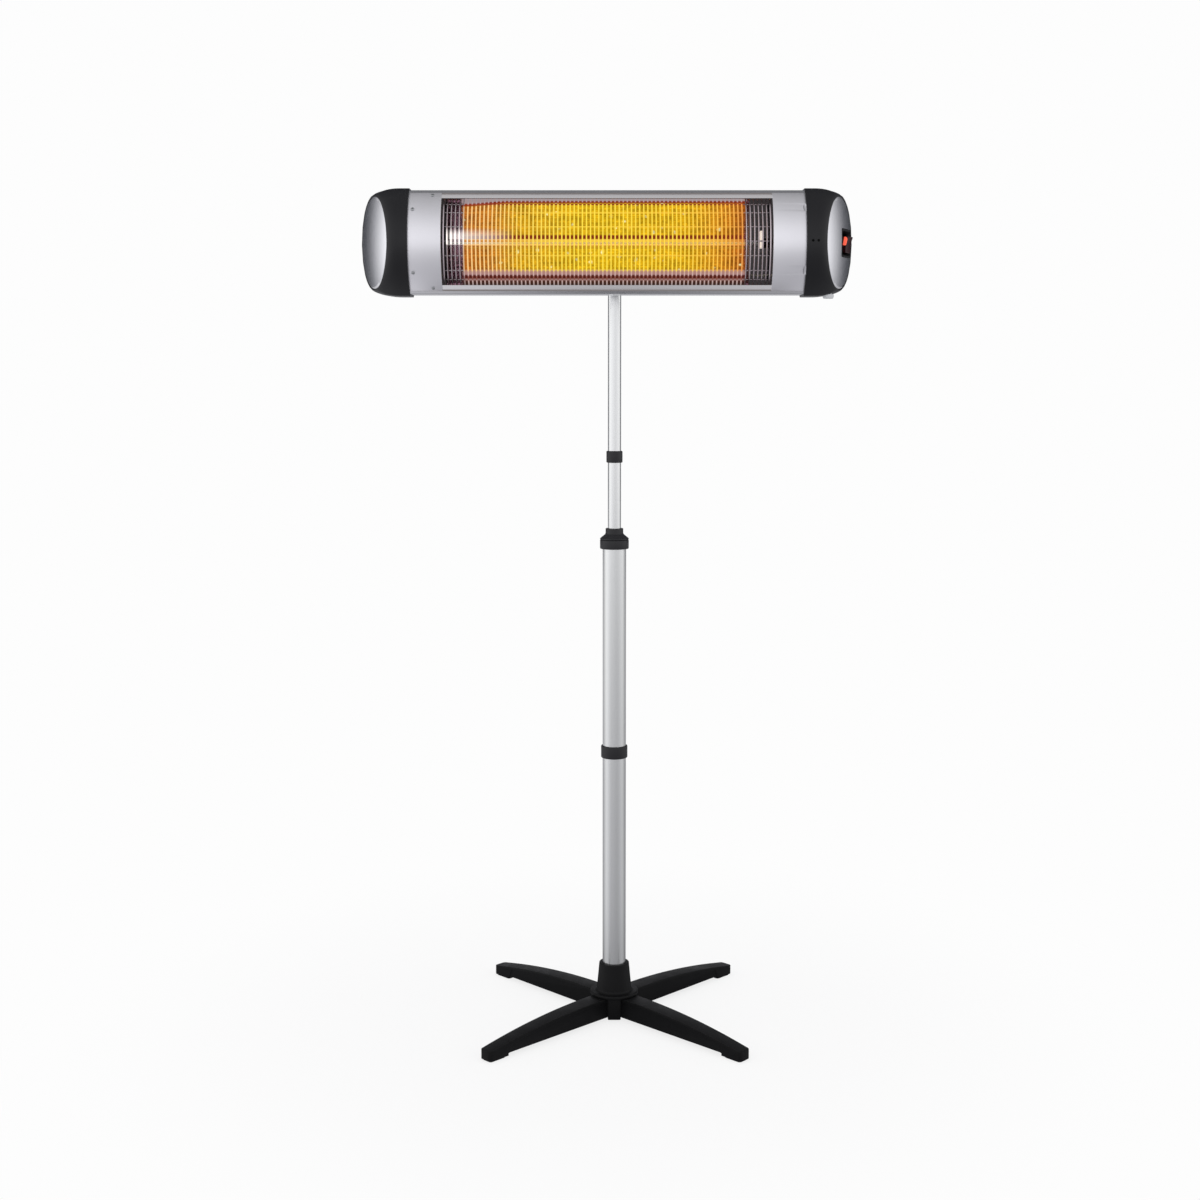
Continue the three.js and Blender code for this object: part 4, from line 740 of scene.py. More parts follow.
def turned(sketch: Sketch, steps: int = 96, segments: int = 4) -> Shape:
    """Turns a sketch of (radius, height) about +Z.

    Args:
        sketch: the profile, closed on itself or on the axis.
        steps: how many sides the round has.
        segments: edges in each rounded corner.

    Returns:
        The solid.
    """
    bm = sketch.laid(Plane.LATHE, segments)
    spun(bm, bm.verts[:] + bm.edges[:], 360, steps, use_merge=True)
    return tidy(bm)


def rod(radius: float, low: float, high: float, steps: int) -> Shape:
    """A round bar along Z."""
    return turned(Sketch((0, low), (radius, low), (radius, high), (0, high)), steps)


def block(x0: float, x1: float, y0: float, y1: float, z0: float, z1: float) -> Shape:
    """Makes a box.

    Args:
        x0: its left side.
        x1: its right side.
        y0: its front.
        y1: its back.
        z0: its bottom.
        z1: its top.

    Returns:
        The box.
    """
    bm = bmesh.new()
    place = at((x0 + x1) / 2, (y0 + y1) / 2, (z0 + z1) / 2)
    bmesh.ops.create_cube(bm, size=1, matrix=place @ scaled(x1 - x0, y1 - y0, z1 - z0))
    return bm


def eased(bm: Shape, radius: float, degrees: float = 30, segments: int = 2) -> Shape:
    """Rounds the edges of a solid where two faces meet at more than an angle.

    Args:
        bm: the solid.
        radius: the width of the rounding.
        degrees: the angle.
        segments: faces across the rounding.

    Returns:
        The same solid.
    """
    limit = math.radians(degrees)
    edges = [edge for edge in bm.edges if edge.is_manifold and edge.calc_face_angle(0) > limit]
    return bevelled(bm, edges, radius, segments, clamp_overlap=True)


def rounded_upright(bm: Shape, radius: float, segments: int = 6, beyond: float = -math.inf) -> Shape:
    """Rounds the upright edges of a solid.

    Args:
        bm: the solid.
        radius: the width of the rounding.
        segments: faces across it.
        beyond: how far along X an edge has to lie.

    Returns:
        The same solid.
    """
    rise = 1
    edges = [e for e in bm.edges if all(v.co.x > beyond for v in e.verts)]
    return bevelled(bm, [e for e in edges if abs(e.verts[0].co.z - e.verts[1].co.z) > rise], radius, segments)


def merged(*shapes: Shape) -> Shape:
    """Puts several shapes in one mesh.

    Args:
        shapes: the shapes, which are used up.

    Returns:
        One shape that holds them all.
    """
    whole = bmesh.new()
    for shape in shapes:
        mesh = bpy.data.meshes.new("part")
        shape.to_mesh(mesh)
        shape.free()
        whole.from_mesh(mesh)
        bpy.data.meshes.remove(mesh)
    return whole


def as_object(name: str, bm: Shape) -> bpy.types.Object:
    """Turns a shape into an object of the scene.

    Args:
        name: its name.
        bm: the shape, which is used up.

    Returns:
        The object.
    """
    mesh = bpy.data.meshes.new(name)
    bm.to_mesh(mesh)
    bm.free()
    made = bpy.data.objects.new(name, mesh)
    bpy.context.collection.objects.link(made)
    return made


def carved(body: Shape, *tools: Shape) -> Shape:
    """Cuts tools out of a solid with the Boolean modifier.

    Args:
        body: the solid.
        tools: the shapes that are cut out of it.

    Returns:
        A new solid.
    """
    target = as_object("body", body)
    cutters = [as_object("tool", tool) for tool in tools]
    for cutter in cutters:
        modifier = target.modifiers.new("cut", "BOOLEAN")
        modifier.operation, modifier.solver, modifier.object = "DIFFERENCE", "EXACT", cutter
    bpy.context.view_layer.update()
    made = bpy.data.meshes.new_from_object(target.evaluated_get(bpy.context.evaluated_depsgraph_get()))
    result = bmesh.new()
    result.from_mesh(made)
    for mesh in [made] + [leftover.data for leftover in (target, *cutters)]:
        bpy.data.meshes.remove(mesh)
    return result


def finished(
    name: str, bm: Shape, finish: Finish, body: Body, slot: str, *replaces: str, sharp: float = 32
) -> bpy.types.Object:
    """Turns a shape into a piece of the heater, in metres, on its body.

    Args:
        name: the piece's name.
        bm: its shape, in millimetres, drawn about its body's origin.
        finish: its surface.
        body: what it moves with.
        slot: the record's material slot; not used.
        replaces: the CAD nodes that it stands for.
        sharp: the angle in degrees past which an edge is shown sharp.

    Returns:
        The piece.
    """
    moved(bm, scaled(MM, MM, MM), ORIGINS.get(body, ON_POLE))
    piece = as_object(name, bm)
    piece.data.shade_smooth()
    piece.data.set_sharp_from_angle(angle=math.radians(sharp))
    piece.data.materials.append(finish.material())
    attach(piece, body.value)
    if replaces:
        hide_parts(*replaces)
    log.info("%s: %d faces on %s", name, len(piece.data.polygons), body.value)
    return piece


def dress_nodes(finish: Finish, *names: str) -> None:
    """Gives CAD nodes that stay in view their finish.

    Args:
        finish: the finish.
        names: the nodes' names.
    """
    for name in names:
        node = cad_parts[name]
        node.data.materials.clear()
        node.data.materials.append(finish.material())
        log.info("%s: %s", name, finish.name)


# Stand


@dataclass
class Base:
    """Hub, socket, four legs with their pads, and the hidden clamp under them."""

    hub_bottom: float = 6
    hub_top: float = 36
    facet_half: float = 10
    facet_face: float = 30.5
    apron_depth: float = 5.9
    apron_top: float = 33
    skirt: float = 4.2
    leg_face: float = 28.64
    joint: float = 0.3
    reach: float = 268
    root_width: float = 29
    tip_width: float = 23
    tip_height: float = 17
    crown_start: float = 50
    toe_radius: float = 7
    toe_corner: float = 5.5
    foot_start: float = 232
    foot_bottom: float = 2.3
    ledge: float = 4.5
    ledge_depth: float = 1.0
    spare: float = 2
    edge: float = 0.9
    pad_size: tuple[float, float, float] = (15, 9, 2)
    turns: tuple[tuple[str, int], ...] = (
        ("front_left", 225),
        ("front_right", 315),
        ("rear_left", 135),
        ("rear_right", 45),
    )

    def hub(self) -> None:
        """The eight-sided middle with its soft edges, which comes down lower between the legs."""
        half, face = self.facet_half, self.facet_face
        facets = ((face, half), (half, face), (-half, face), (-face, half), (-face, -half), (-half, -face))
        outline = Sketch((face, -half), *facets, (half, -face)).close()
        bm = pulled(outline, Plane.LEVEL, (0, 0, self.hub_top - self.hub_bottom))
        eased(moved(bm, at(0, 0, self.hub_bottom)), 2.0, segments=4)
        low = self.hub_bottom - self.skirt
        apron = (face - self.apron_depth, face + 0.12, -half, half, low, self.apron_top)
        aprons = [moved(eased(block(*apron), 1.8, segments=4), swung(90 * i, "Z")) for i in range(4)]
        finished("base_hub_casting", merged(bm, *aprons), BASE_PAINT, Body.STAND, "base_black", "base_hub")

    def crown(self, start: Point, inset: float, end: float) -> Sketch:
        """The top of a leg: level by the hub, then a long arc down towards the toe.

        Args:
            start: where the outline begins.
            inset: how far below the top it runs.
            end: how far out it ends.

        Returns:
            The outline, still open.
        """
        reach = self.reach - self.toe_radius - self.crown_start
        drop, top = self.hub_top - self.tip_height, self.hub_top - inset
        radius = (reach * reach + drop * drop) / (2 * drop)
        sweep = math.degrees(math.asin((end - self.crown_start) / (radius - inset)))
        outline = Sketch(start, (start[0], top), (self.crown_start, top))
        return outline.arc((self.crown_start, self.hub_top - radius), -sweep, 24)

    def leg(self, place: str, degrees: int) -> None:
        """One leg: pulled across its width, hollowed along its sides, tapered in plan and rounded.

        Args:
            place: which corner it stands at.
            degrees: its direction from the pole.
        """
        half, spare, depth = self.root_width / 2, self.spare, self.ledge_depth
        root, low = self.leg_face + self.joint, self.hub_bottom - spare
        side = self.crown((root, self.hub_bottom), 0, self.reach - self.toe_radius)
        side.to((self.reach, self.tip_height - 0.8), (self.reach, self.foot_bottom))
        side.to((self.foot_start, self.foot_bottom), (self.foot_start, self.hub_bottom)).close()
        along = swung(90, "Z")
        panels = []
        for start in (half - depth, -half - spare):
            panel = self.crown((root - spare, low), self.ledge, self.foot_start - 6)
            panel.to((self.foot_start - 1, low)).close()
            cut = pulled(panel, Plane.SECTION, (-spare - depth, 0, 0))
            panels.append(moved(cut, along, at(start + spare + depth, 0, 0)))
        bm = moved(pulled(side, Plane.SECTION, (-2 * half, 0, 0)), along, at(half, 0, 0))
        bm = carved(bm, *panels)
        for vert in bm.verts:
            share = max(0.0, (vert.co.x - self.leg_face) / (self.reach - self.leg_face))
            vert.co.y *= 1 + (self.tip_width / self.root_width - 1) * share
        rounded_upright(bm, self.toe_corner, 5, self.reach - 0.1)
        eased(bm, self.edge, 35, 3)
        bm = moved(bm, swung(degrees, "Z"))
        finished(f"base_leg_{place}", bm, BASE_PAINT, Body.STAND, "base_black", f"leg_{place}")

    def pad(self, place: str, degrees: int) -> None:
        """The rubber pad under a foot.

        Args:
            place: which corner it is at.
            degrees: the leg's direction.
        """
        long, wide, high = self.pad_size
        bm = eased(rounded_upright(block(-long, long, -wide, wide, 0, high), 4), 0.4, 60)
        bm = moved(bm, swung(degrees, "Z"), at((self.foot_start + self.reach) / 2, 0, 0))
        finished(f"rubber_pad_{place}", bm, PAD_RUBBER, Body.STAND, "pad_rubber", f"foot_pad_{place}")

    def socket(self) -> None:
        """The cone that holds the pole, with its flange and the flare between them."""
        profile = Sketch((4.3, 0), (37.5, 0, 0.8), (37.5, 4.6, 2.2), (27.2, 4.6, 4.0), (23, 48.7, 1.4))
        profile.to((18.3, 48.7, 0.5), (18.3, 8), (4.3, 8)).close()
        bm = moved(turned(profile, 96, 6), at(0, 0, self.hub_top + self.joint))
        finished("pole_socket_cone", bm, BASE_PAINT, Body.STAND, "black_plastic", "pole_socket")

    def build(self) -> None:
        """Builds the base."""
        self.hub()
        self.socket()
        for place, degrees in self.turns:
            self.leg(place, degrees)
            self.pad(place, degrees)
        dress_nodes(ZINC_STEEL, "base_clamp_plate", "base_bolt")
        dress_nodes(BLACK_PLASTIC, "pole_foot_plug")


@dataclass
class Pole:
    """Two thick tubes, a thinner one that slides in them and the pole top that swivels on it."""

    thick: Point = (16.5, 18)
    thin: Point = (8.8, 10)
    collar_height: float = 746

    def tube(self, name: str, node: str, walls: Point, ends: Point, body: Body) -> None:
        """A drawn tube with its cut ends broken.

        Args:
            name: the piece's name.
            node: the CAD node that it stands for.
            walls: its inner and outer radius.
            ends: its lower and upper end.
            body: what it moves with.
        """
        (inner, outer), (low, high) = walls, ends
        profile = Sketch((inner, low), (outer, low, 0.3), (outer, high, 0.3), (inner, high)).close()
        bm = turned(profile, 96, 2)
        finished(name, bm, POLE_ALUMINIUM, body, "pole_aluminium", node, sharp=20)

    def coupling(self, name: str, node: str, sizes: tuple[float, ...], middle: float, body: Body) -> None:
        """A moulded sleeve between two tubes.

        Args:
            name: the piece's name.
            node: the CAD node that it stands for.
            sizes: bore, spigot, pocket and band radius, then spigot, web and band half heights.
            middle: the height of its middle.
            body: what it moves with.
        """
        bore, spigot, pocket, band, reach, web, half = sizes
        profile = Sketch((bore, -reach), (spigot, -reach), (spigot, -web), (pocket, -web), (pocket, -half))
        profile.to((band, -half, 1.6), (band, half, 1.6), (pocket, half), (pocket, web), (spigot, web))
        profile.to((spigot, reach), (bore, reach)).close()
        bm = moved(turned(profile, 96, 5), at(0, 0, middle))
        finished(name, bm, BLACK_PLASTIC, body, "black_plastic", node)

    def collar(self) -> None:
        """The collar on top of the thick tubes."""
        profile = Sketch((10.4, -56.1), (16.2, -56.1), (16.2, -8.1), (18.3, -8.1), (18.3, -14))
        profile.to((22, -14, 1.2), (22, 0, 1.4), (15, 0), (15, 5.5, 0.5), (10.4, 5.5)).close()
        bm = moved(turned(profile), at(0, 0, self.collar_height))
        finished("pole_collar", bm, BLACK_PLASTIC, Body.STAND, "black_plastic", "collar_base")

    def nut(self) -> None:
        """The lock nut: a short cone with a ribbed neck."""
        profile = Sketch((15.3, 0), (22, 0, 0.4), (22, 1.6, 0.8), (13.5, 8.6, 1.6), (13.5, 17, 1.0))
        profile.to((10.4, 17, 0.4), (10.4, 15.5), (12, 15.5), (12, 5.8), (15.3, 5.8)).close()
        bm = moved(turned(profile), at(0, 0, self.collar_height + 0.3))
        finished("pole_lock_nut", bm, BLACK_PLASTIC, Body.LOCK_NUT, "black_plastic", "lock_nut")

    def build(self) -> None:
        """Builds the pole."""
        self.tube("pole_tube_lower", "lower_pole_tube", self.thick, (44.6, 416.6), Body.STAND)
        self.tube("pole_tube_middle", "middle_pole_tube", self.thick, (419.6, 737.6), Body.STAND)
        self.tube("pole_tube_inner", "inner_pole_lower", self.thin, (302, 870), Body.INNER_POLE)
        self.tube("pole_tube_upper", "inner_pole_upper", self.thin, (874.6, 1126.6), Body.UPPER_POLE)
        thick_joint = (10.4, 16.2, 18.3, 20.35, 32, 1.2, 9.5)
        thin_joint = (5.5, 8.5, 10.3, 12.3, 24, 2, 9)
        self.coupling("pole_tube_coupling", "pole_coupling", thick_joint, 418.1, Body.STAND)
        self.coupling("pole_swivel_band", "swivel_coupling", thin_joint, 872.3, Body.INNER_POLE)
        self.collar()
        self.nut()
        dress_nodes(WHITE_NYLON, "clamp_collet")
        dress_nodes(BLACK_PLASTIC, "inner_pole_plug")


@dataclass
class TiltJoint:
    """Knuckle, bracket, bolt and knob behind the head."""

    knob_radius: float = 17
    knob_length: float = 18
    knob_start: float = 9.6
    hand_radius: float = 10
    lobes: int = 6
    lobe_depth: float = 1.6

    def build(self) -> None:
        """Builds the tilt joint. The hand knob is a turned disc whose rim is pressed into lobes."""
        rim, length, core = self.knob_radius, self.knob_length, self.hand_radius
        profile = Sketch((4.3, 0), (rim, 0, 1.5), (rim, length, 2.5), (7, length, 1.0), (6, 16.5), (0, 16.5))
        bm = turned(profile.to((0, 13), (4.3, 13)).close())
        for vert in bm.verts:
            radius = math.hypot(vert.co.x, vert.co.y)
            if radius > core:
                turn = math.atan2(vert.co.y, vert.co.x)
                wave = self.lobe_depth * math.cos(self.lobes * turn) * (radius - core) / (rim - core)
                vert.co.x *= (radius + wave) / radius
                vert.co.y *= (radius + wave) / radius
        bm = moved(bm, at(self.knob_start, 0, 0), ALONG_X)
        finished("tilt_hand_knob", bm, BLACK_PLASTIC, Body.TILT_KNOB, "black_plastic", "tilt_knob")
        dress_nodes(BLACK_PLASTIC, "pole_top_knuckle")
        dress_nodes(ZINC_STEEL, "tilt_bracket", "tilt_bolt", "bracket_screw_left", "bracket_screw_right")


# Head


@dataclass
class HeadSection:
    """The section that the housing, the fascias, the guard and the end caps share."""

    half_length: float = 285
    overlap: float = 12
    half_height: float = 74.5
    depth: float = 92
    bulge: float = 36
    wall: float = 2
    back_radius: float = 12
    edge_radius: float = 5
    half_opening: float = 237.5
    lip: float = 62
    rebate: float = 70.3
    flange: float = 8.5
    plate: float = 1.5
    gap: float = 0.3

    @property
    def radius(self) -> float:
        """The radius of the curved front."""
        return (self.half_height**2 + self.bulge**2) / (2 * self.bulge)

    @property
    def centre(self) -> float:
        """How far forward the front's centre lies."""
        return self.depth - self.radius

    def forward(self, radius: float, up: float) -> float:
        """How far forward an arc about the front's centre lies at a height."""
        return self.centre + math.sqrt(radius**2 - up**2)

    def lean(self, radius: float, up: float) -> float:
        """The direction of such a point from the centre, in degrees above the level."""
        return math.degrees(math.asin(up / radius))

    @property
    def edge_centre(self) -> Point:
        """The centre of the round edge between front and top."""
        up = self.half_height - self.edge_radius
        return self.forward(self.radius - self.edge_radius, up), up

    @property
    def edge_lean(self) -> float:
        """Where the front meets its round edge, in degrees above the level."""
        forward, up = self.edge_centre
        return math.degrees(math.atan2(up, forward - self.centre))

    def outline(self, offset: float) -> Sketch:
        """The outline of the body, grown outwards by an offset and not yet closed.

        Args:
            offset: how far it is grown.

        Returns:
            The sketch, drawn as (forward, up).
        """
        lean, (edge_x, edge_y), corner = self.edge_lean, self.edge_centre, self.back_radius
        radius, top, reach = self.radius + offset, self.half_height + offset, self.half_height - corner
        start = math.radians(-lean)
        sketch = Sketch((self.centre + radius * math.cos(start), radius * math.sin(start)))
        sketch.arc((self.centre, 0), 2 * lean, 40).arc((edge_x, edge_y), 90 - lean, 5)
        quarters, run = (0.25, 0.5, 0.75, 1), edge_x - corner
        sketch.to(*((edge_x - run * share, top) for share in quarters)).arc((corner, reach), 90, 8)
        sketch.to(*((-offset, reach * (1 - 2 * share)) for share in quarters)).arc((corner, -reach), 90, 8)
        sketch.to(*((corner + run * share, -top) for share in quarters))
        return sketch.arc((edge_x, -edge_y), 90 - lean, 5)


@dataclass
class HeadShell:
    """The extruded channel, the two fascia plates and their screws."""

    section: HeadSection = field(default_factory=HeadSection)
    dimple: float = 283.6
    dimple_heights: Point = (48.0, -42.0)
    dimple_radius: float = 8
    dimple_lift: float = 0.45
    dimple_shape: tuple[float, float, float] = (0.36, 0.16, 0.95)
    mouth_start: float = 55
    screw_spread: float = 20
    screw_hole: float = 2.3

    def channel_outline(self) -> Sketch:
        """The section of the channel, drawn round its outer face and back along its inner face.

        Returns:
            The closed sketch.
        """
        s = self.section
        middle, corner, reach = (s.centre, 0), s.back_radius, s.half_height - s.back_radius
        (edge_x, edge_y), rounding = s.edge_centre, 90 - s.edge_lean
        lip_radius = s.radius - s.plate - s.gap
        inner_radius = lip_radius - s.wall
        inner_top, inner_lip = s.half_height - s.wall, s.lip + s.wall
        flange = s.forward(s.radius - s.flange, s.lip) + s.gap
        rebate = s.lean(lip_radius, s.rebate) - s.lean(lip_radius, s.lip)
        bead = s.edge_lean - s.lean(s.radius, s.rebate)
        slope = s.lean(inner_radius, inner_lip) - s.lean(inner_radius, inner_top)

        sketch = Sketch((flange, s.lip), (s.forward(lip_radius, s.lip), s.lip)).arc(middle, rebate, 4)
        sketch.to((s.forward(s.radius, s.rebate), s.rebate)).arc(middle, bead, 4)
        sketch.arc((edge_x, edge_y), rounding, 8).to((corner, s.half_height)).arc((corner, reach), 90, 12)
        sketch.to((0, -reach)).arc((corner, -reach), 90, 12).to((edge_x, -s.half_height))
        sketch.arc((edge_x, -edge_y), rounding, 8).arc(middle, bead, 4)
        sketch.to((s.forward(lip_radius, s.rebate), -s.rebate)).arc(middle, rebate, 4)
        sketch.to((flange, -s.lip), (flange, -inner_lip), (s.forward(inner_radius, inner_lip), -inner_lip))
        sketch.arc(middle, slope, 4).to((corner, -inner_top)).arc((corner, -reach), -90, 12)
        sketch.to((s.wall, reach)).arc((corner, reach), -90, 12)
        sketch.to((s.forward(inner_radius, inner_top), inner_top)).arc(middle, slope, 4)
        return sketch.to((flange, inner_lip)).close()

    def housing(self) -> None:
        """The channel, with the holes of the bracket screws."""
        s = self.section
        reach = s.half_length + s.overlap
        bm = moved(pulled(self.channel_outline(), Plane.SECTION, (-2 * reach, 0, 0)), at(reach, 0, 0))
        places = (POLE_X - self.screw_spread, POLE_X + self.screw_spread)
        holes = (moved(rod(self.screw_hole, -6, 6, 24), at(x, 0, 0), FACING_FRONT) for x in places)
        bm = carved(bm, *holes)
        for face in bm.faces:
            spot, normal = face.calc_center_median(), face.normal
            # Faces round the mouth take the lip's painted lamp light
            lip = -spot.y > self.mouth_start and normal.y < -0.3 and s.lip < abs(spot.z) < s.rebate
            # Faces inside the channel take painted shade
            within = Vector((0, spot.y + s.depth / 2, spot.z)).dot(normal) < 0 and abs(normal.x) < 0.5
            face.material_index = 1 if lip else 2 if within else 0
        piece = finished("head_housing", bm, HOUSING_ALUMINIUM, Body.HEAD, "anodised_aluminium", "housing")
        for finish in (HOUSING_LIP, HOUSING_INSIDE):
            piece.data.materials.append(finish.material())

    def fascia(self, side: Side) -> None:
        """One fascia plate, bent to the curve of the front. The right one has two soft dimples.

        Args:
            side: which end it closes.
        """
        s, middle = self.section, (self.section.centre, 0)
        top, inner = s.rebate - s.gap, s.radius - s.plate
        sketch = Sketch((s.forward(s.radius, top), -top)).arc(middle, 2 * s.lean(s.radius, top), 64)
        sketch.to((s.forward(inner, top), top)).arc(middle, -2 * s.lean(inner, top), 64).close()
        width = s.half_length + s.overlap - s.half_opening
        bm = eased(pulled(sketch, Plane.SECTION, (-width, 0, 0)), 0.35, 60)
        start = -s.half_opening
        if side is Side.RIGHT:
            start = s.half_opening + width
            dimples = []
            for up in self.dimple_heights:
                ball = bmesh.new()
                bmesh.ops.create_uvsphere(ball, u_segments=32, v_segments=24, radius=self.dimple_radius)
                place = at(self.dimple - start, -s.forward(s.radius + self.dimple_lift, up), up)
                tilt = swung(-s.lean(s.radius, up), "X")
                dimples.append(moved(ball, place, tilt, scaled(*self.dimple_shape)))
            bm = carved(bm, *dimples)
        name, node = f"head_fascia_{side.value}", f"fascia_{side.value}"
        bm = moved(bm, at(start, 0, 0))
        finished(name, bm, FASCIA_ALUMINIUM, Body.HEAD, "anodised_aluminium", node)

    def screw(self, node: str, x: float, up: float) -> None:
        """A small round-headed screw with a cross recess.

        Args:
            node: the CAD node that it stands for.
            x: its place along the head.
            up: its height from the middle.
        """
        s = self.section
        profile = Sketch((0, -5), (1.4, -5), (1.4, 0), (2.6, 0, 0.2), (2.6, 0.5, 0.3))
        profile.to((1.2, 1.2, 0.3), (0, 1.2))
        slots = (block(-1.3, 1.3, -0.3, 0.3, 0.55, 2), block(-0.3, 0.3, -1.3, 1.3, 0.55, 2))
        lean, radius = math.asin(up / s.radius), s.radius + s.gap
        place = at(x, -(s.centre + radius * math.cos(lean)), radius * math.sin(lean))
        bm = moved(carved(turned(profile, 32, 3), *slots), place, swung(90 - math.degrees(lean), "X"))
        finished(node.replace("fascia", "plate"), bm, ZINC_STEEL, Body.HEAD, "zinc_steel", node)

    def build(self) -> None:
        """Builds the shell."""
        self.housing()
        self.fascia(Side.LEFT)
        self.fascia(Side.RIGHT)
        for column, x, up in (("outer", -278, 45), ("inner", -250.5, 66.15)):
            self.screw(f"fascia_screw_upper_{column}", x, up)
            self.screw(f"fascia_screw_lower_{column}", x, -up)
        # The left bulkhead takes painted shade, the right one painted shade and a faint painted glow
        dress_nodes(CHAMBER_STEEL, "bulkhead_left")
        dress_nodes(END_SHEET, "bulkhead_right")


@dataclass
class LampChamber:
    """Reflector trough, quartz lamp and its ceramics."""

    left: float = -232
    right: float = 206
    back: float = 16
    mouth: float = 46
    half_height: float = 58
    flange: float = 72
    sheet: float = 1
    curve_steps: int = 48
    lamp_forward: float = 40
    lamp: Point = (-248, 225.5)
    lamp_walls: Point = (4.5, 5.5)
    glow: Point = (-205, 202)
    tail_radius: float = 1.1
    tail_gap: float = 5.3
    core_radius: float = 0.8
    coil_turns: int = 58
    coil_steps: int = 12
    coil_radius: float = 1.5
    coil_wire: float = 0.7

    def reflector(self) -> None:
        """The trough: a parabola with a flange along both edges, given its sheet's thickness."""
        shares = [2 * i / self.curve_steps - 1 for i in range(self.curve_steps + 1)]
        rise = self.mouth - self.back
        curve = ((self.back + rise * share**2, self.half_height * share) for share in shares)
        bm = Sketch((self.mouth, -self.flange), *curve, (self.mouth, self.flange)).laid(Plane.SECTION)
        grown = bmesh.ops.extrude_edge_only(bm, edges=bm.edges[:])
        verts = only(bmesh.types.BMVert, grown["geom"])
        bmesh.ops.translate(bm, vec=(self.right - self.left, 0, 0), verts=verts)
        moved(bm, at(self.left, 0, 0))
        bmesh.ops.recalc_face_normals(bm, faces=bm.faces[:])
        if bm.faces[:][len(bm.faces) // 2].normal.y > 0:
            bmesh.ops.reverse_faces(bm, faces=bm.faces[:])
        bmesh.ops.solidify(bm, geom=bm.faces[:], thickness=self.sheet)
        finished("reflector_trough", bm, REFLECTOR_SHEET, Body.HEAD, "mirror_aluminium", "reflector")

    def on_lamp(self, bm: Shape) -> Shape:
        """Lays a round body along the lamp's axis."""
        return moved(bm, at(0, -self.lamp_forward, 0), ALONG_X)

    def tube(self) -> None:
        """The quartz tube."""
        (low, high), (inner, outer) = self.lamp, self.lamp_walls
        profile = Sketch((inner, low), (outer, low), (outer, high), (inner, high)).close()
        bm = self.on_lamp(turned(profile, 48))
        finished("quartz_lamp_tube", bm, LAMP_QUARTZ, Body.HEAD, "quartz_glass", "lamp_tube")

    def filament(self) -> None:
        """The filament: a coil wound round a core, between two straight tails."""
        (low, high), (left, right), gap, sides = self.glow, self.lamp, self.tail_gap, 12
        coil = bmesh.new()
        bmesh.ops.create_circle(coil, segments=6, radius=self.coil_wire / 2, cap_ends=False)
        moved(coil, at(self.coil_radius, 0, 0), FACING_FRONT)
        steps = self.coil_turns * self.coil_steps
        rise = (0, 0, (high - low) / steps)
        spun(coil, coil.verts[:] + coil.edges[:], 360 * self.coil_turns, steps, dvec=rise)
        bmesh.ops.holes_fill(coil, edges=[e for e in coil.edges if e.is_boundary], sides=0)
        moved(coil, at(0, 0, low))
        spans = ((left + gap, low + 1), (high - 1, right - gap))
        tails = [rod(self.tail_radius, *span, sides) for span in spans]
        bm = self.on_lamp(tidy(merged(coil, *tails, rod(self.core_radius, low, high, sides))))
        finished("filament_coil", bm, FILAMENT, Body.HEAD, "glowing_filament", "lamp_filament")

    def cap(self, side: Side) -> None:
        """The ceramic plate at one end of the tube, with its steel ferrule, which is dark with painted shade.

        Args:
            side: which end.
        """
        name = side.value
        place = [at(0, 0, self.lamp[0]), FLIPPED] if side is Side.LEFT else [at(0, 0, self.lamp[1])]
        plate = eased(block(-17.2, 7.5, -10.2, 10.2, -3.4, 1.4), 1.2, segments=3)
        sleeve = turned(Sketch((7, 1.6), (7, 15.3, 0.8), (1.9, 15.3), (1.9, 1.6)).close(), 48, 3)
        spigot = turned(Sketch((0, -5), (4.2, -5, 0.6), (4.2, -3.5), (0, -3.5)), 48, 3)
        plate, ferrule = (self.on_lamp(moved(bm, *place)) for bm in (plate, merged(sleeve, spigot)))
        finished(f"ceramic_end_{name}", plate, LAMP_CERAMIC, Body.HEAD, "lamp_ceramic", f"lamp_cap_{name}")
        finished(f"lamp_ferrule_{name}", ferrule, CHAMBER_STEEL, Body.HEAD, "lamp_ceramic")

    def build(self) -> None:
        """Builds the chamber."""
        self.reflector()
        self.tube()
        self.filament()
        self.cap(Side.LEFT)
        self.cap(Side.RIGHT)
        # The chamber's left end and lamp holder take painted shade, the right ones painted shade and a faint
        # painted glow
        dress_nodes(CHAMBER_STEEL, "reflector_end_left", "lamp_holder_left")
        dress_nodes(END_SHEET, "reflector_end_right", "lamp_holder_right")


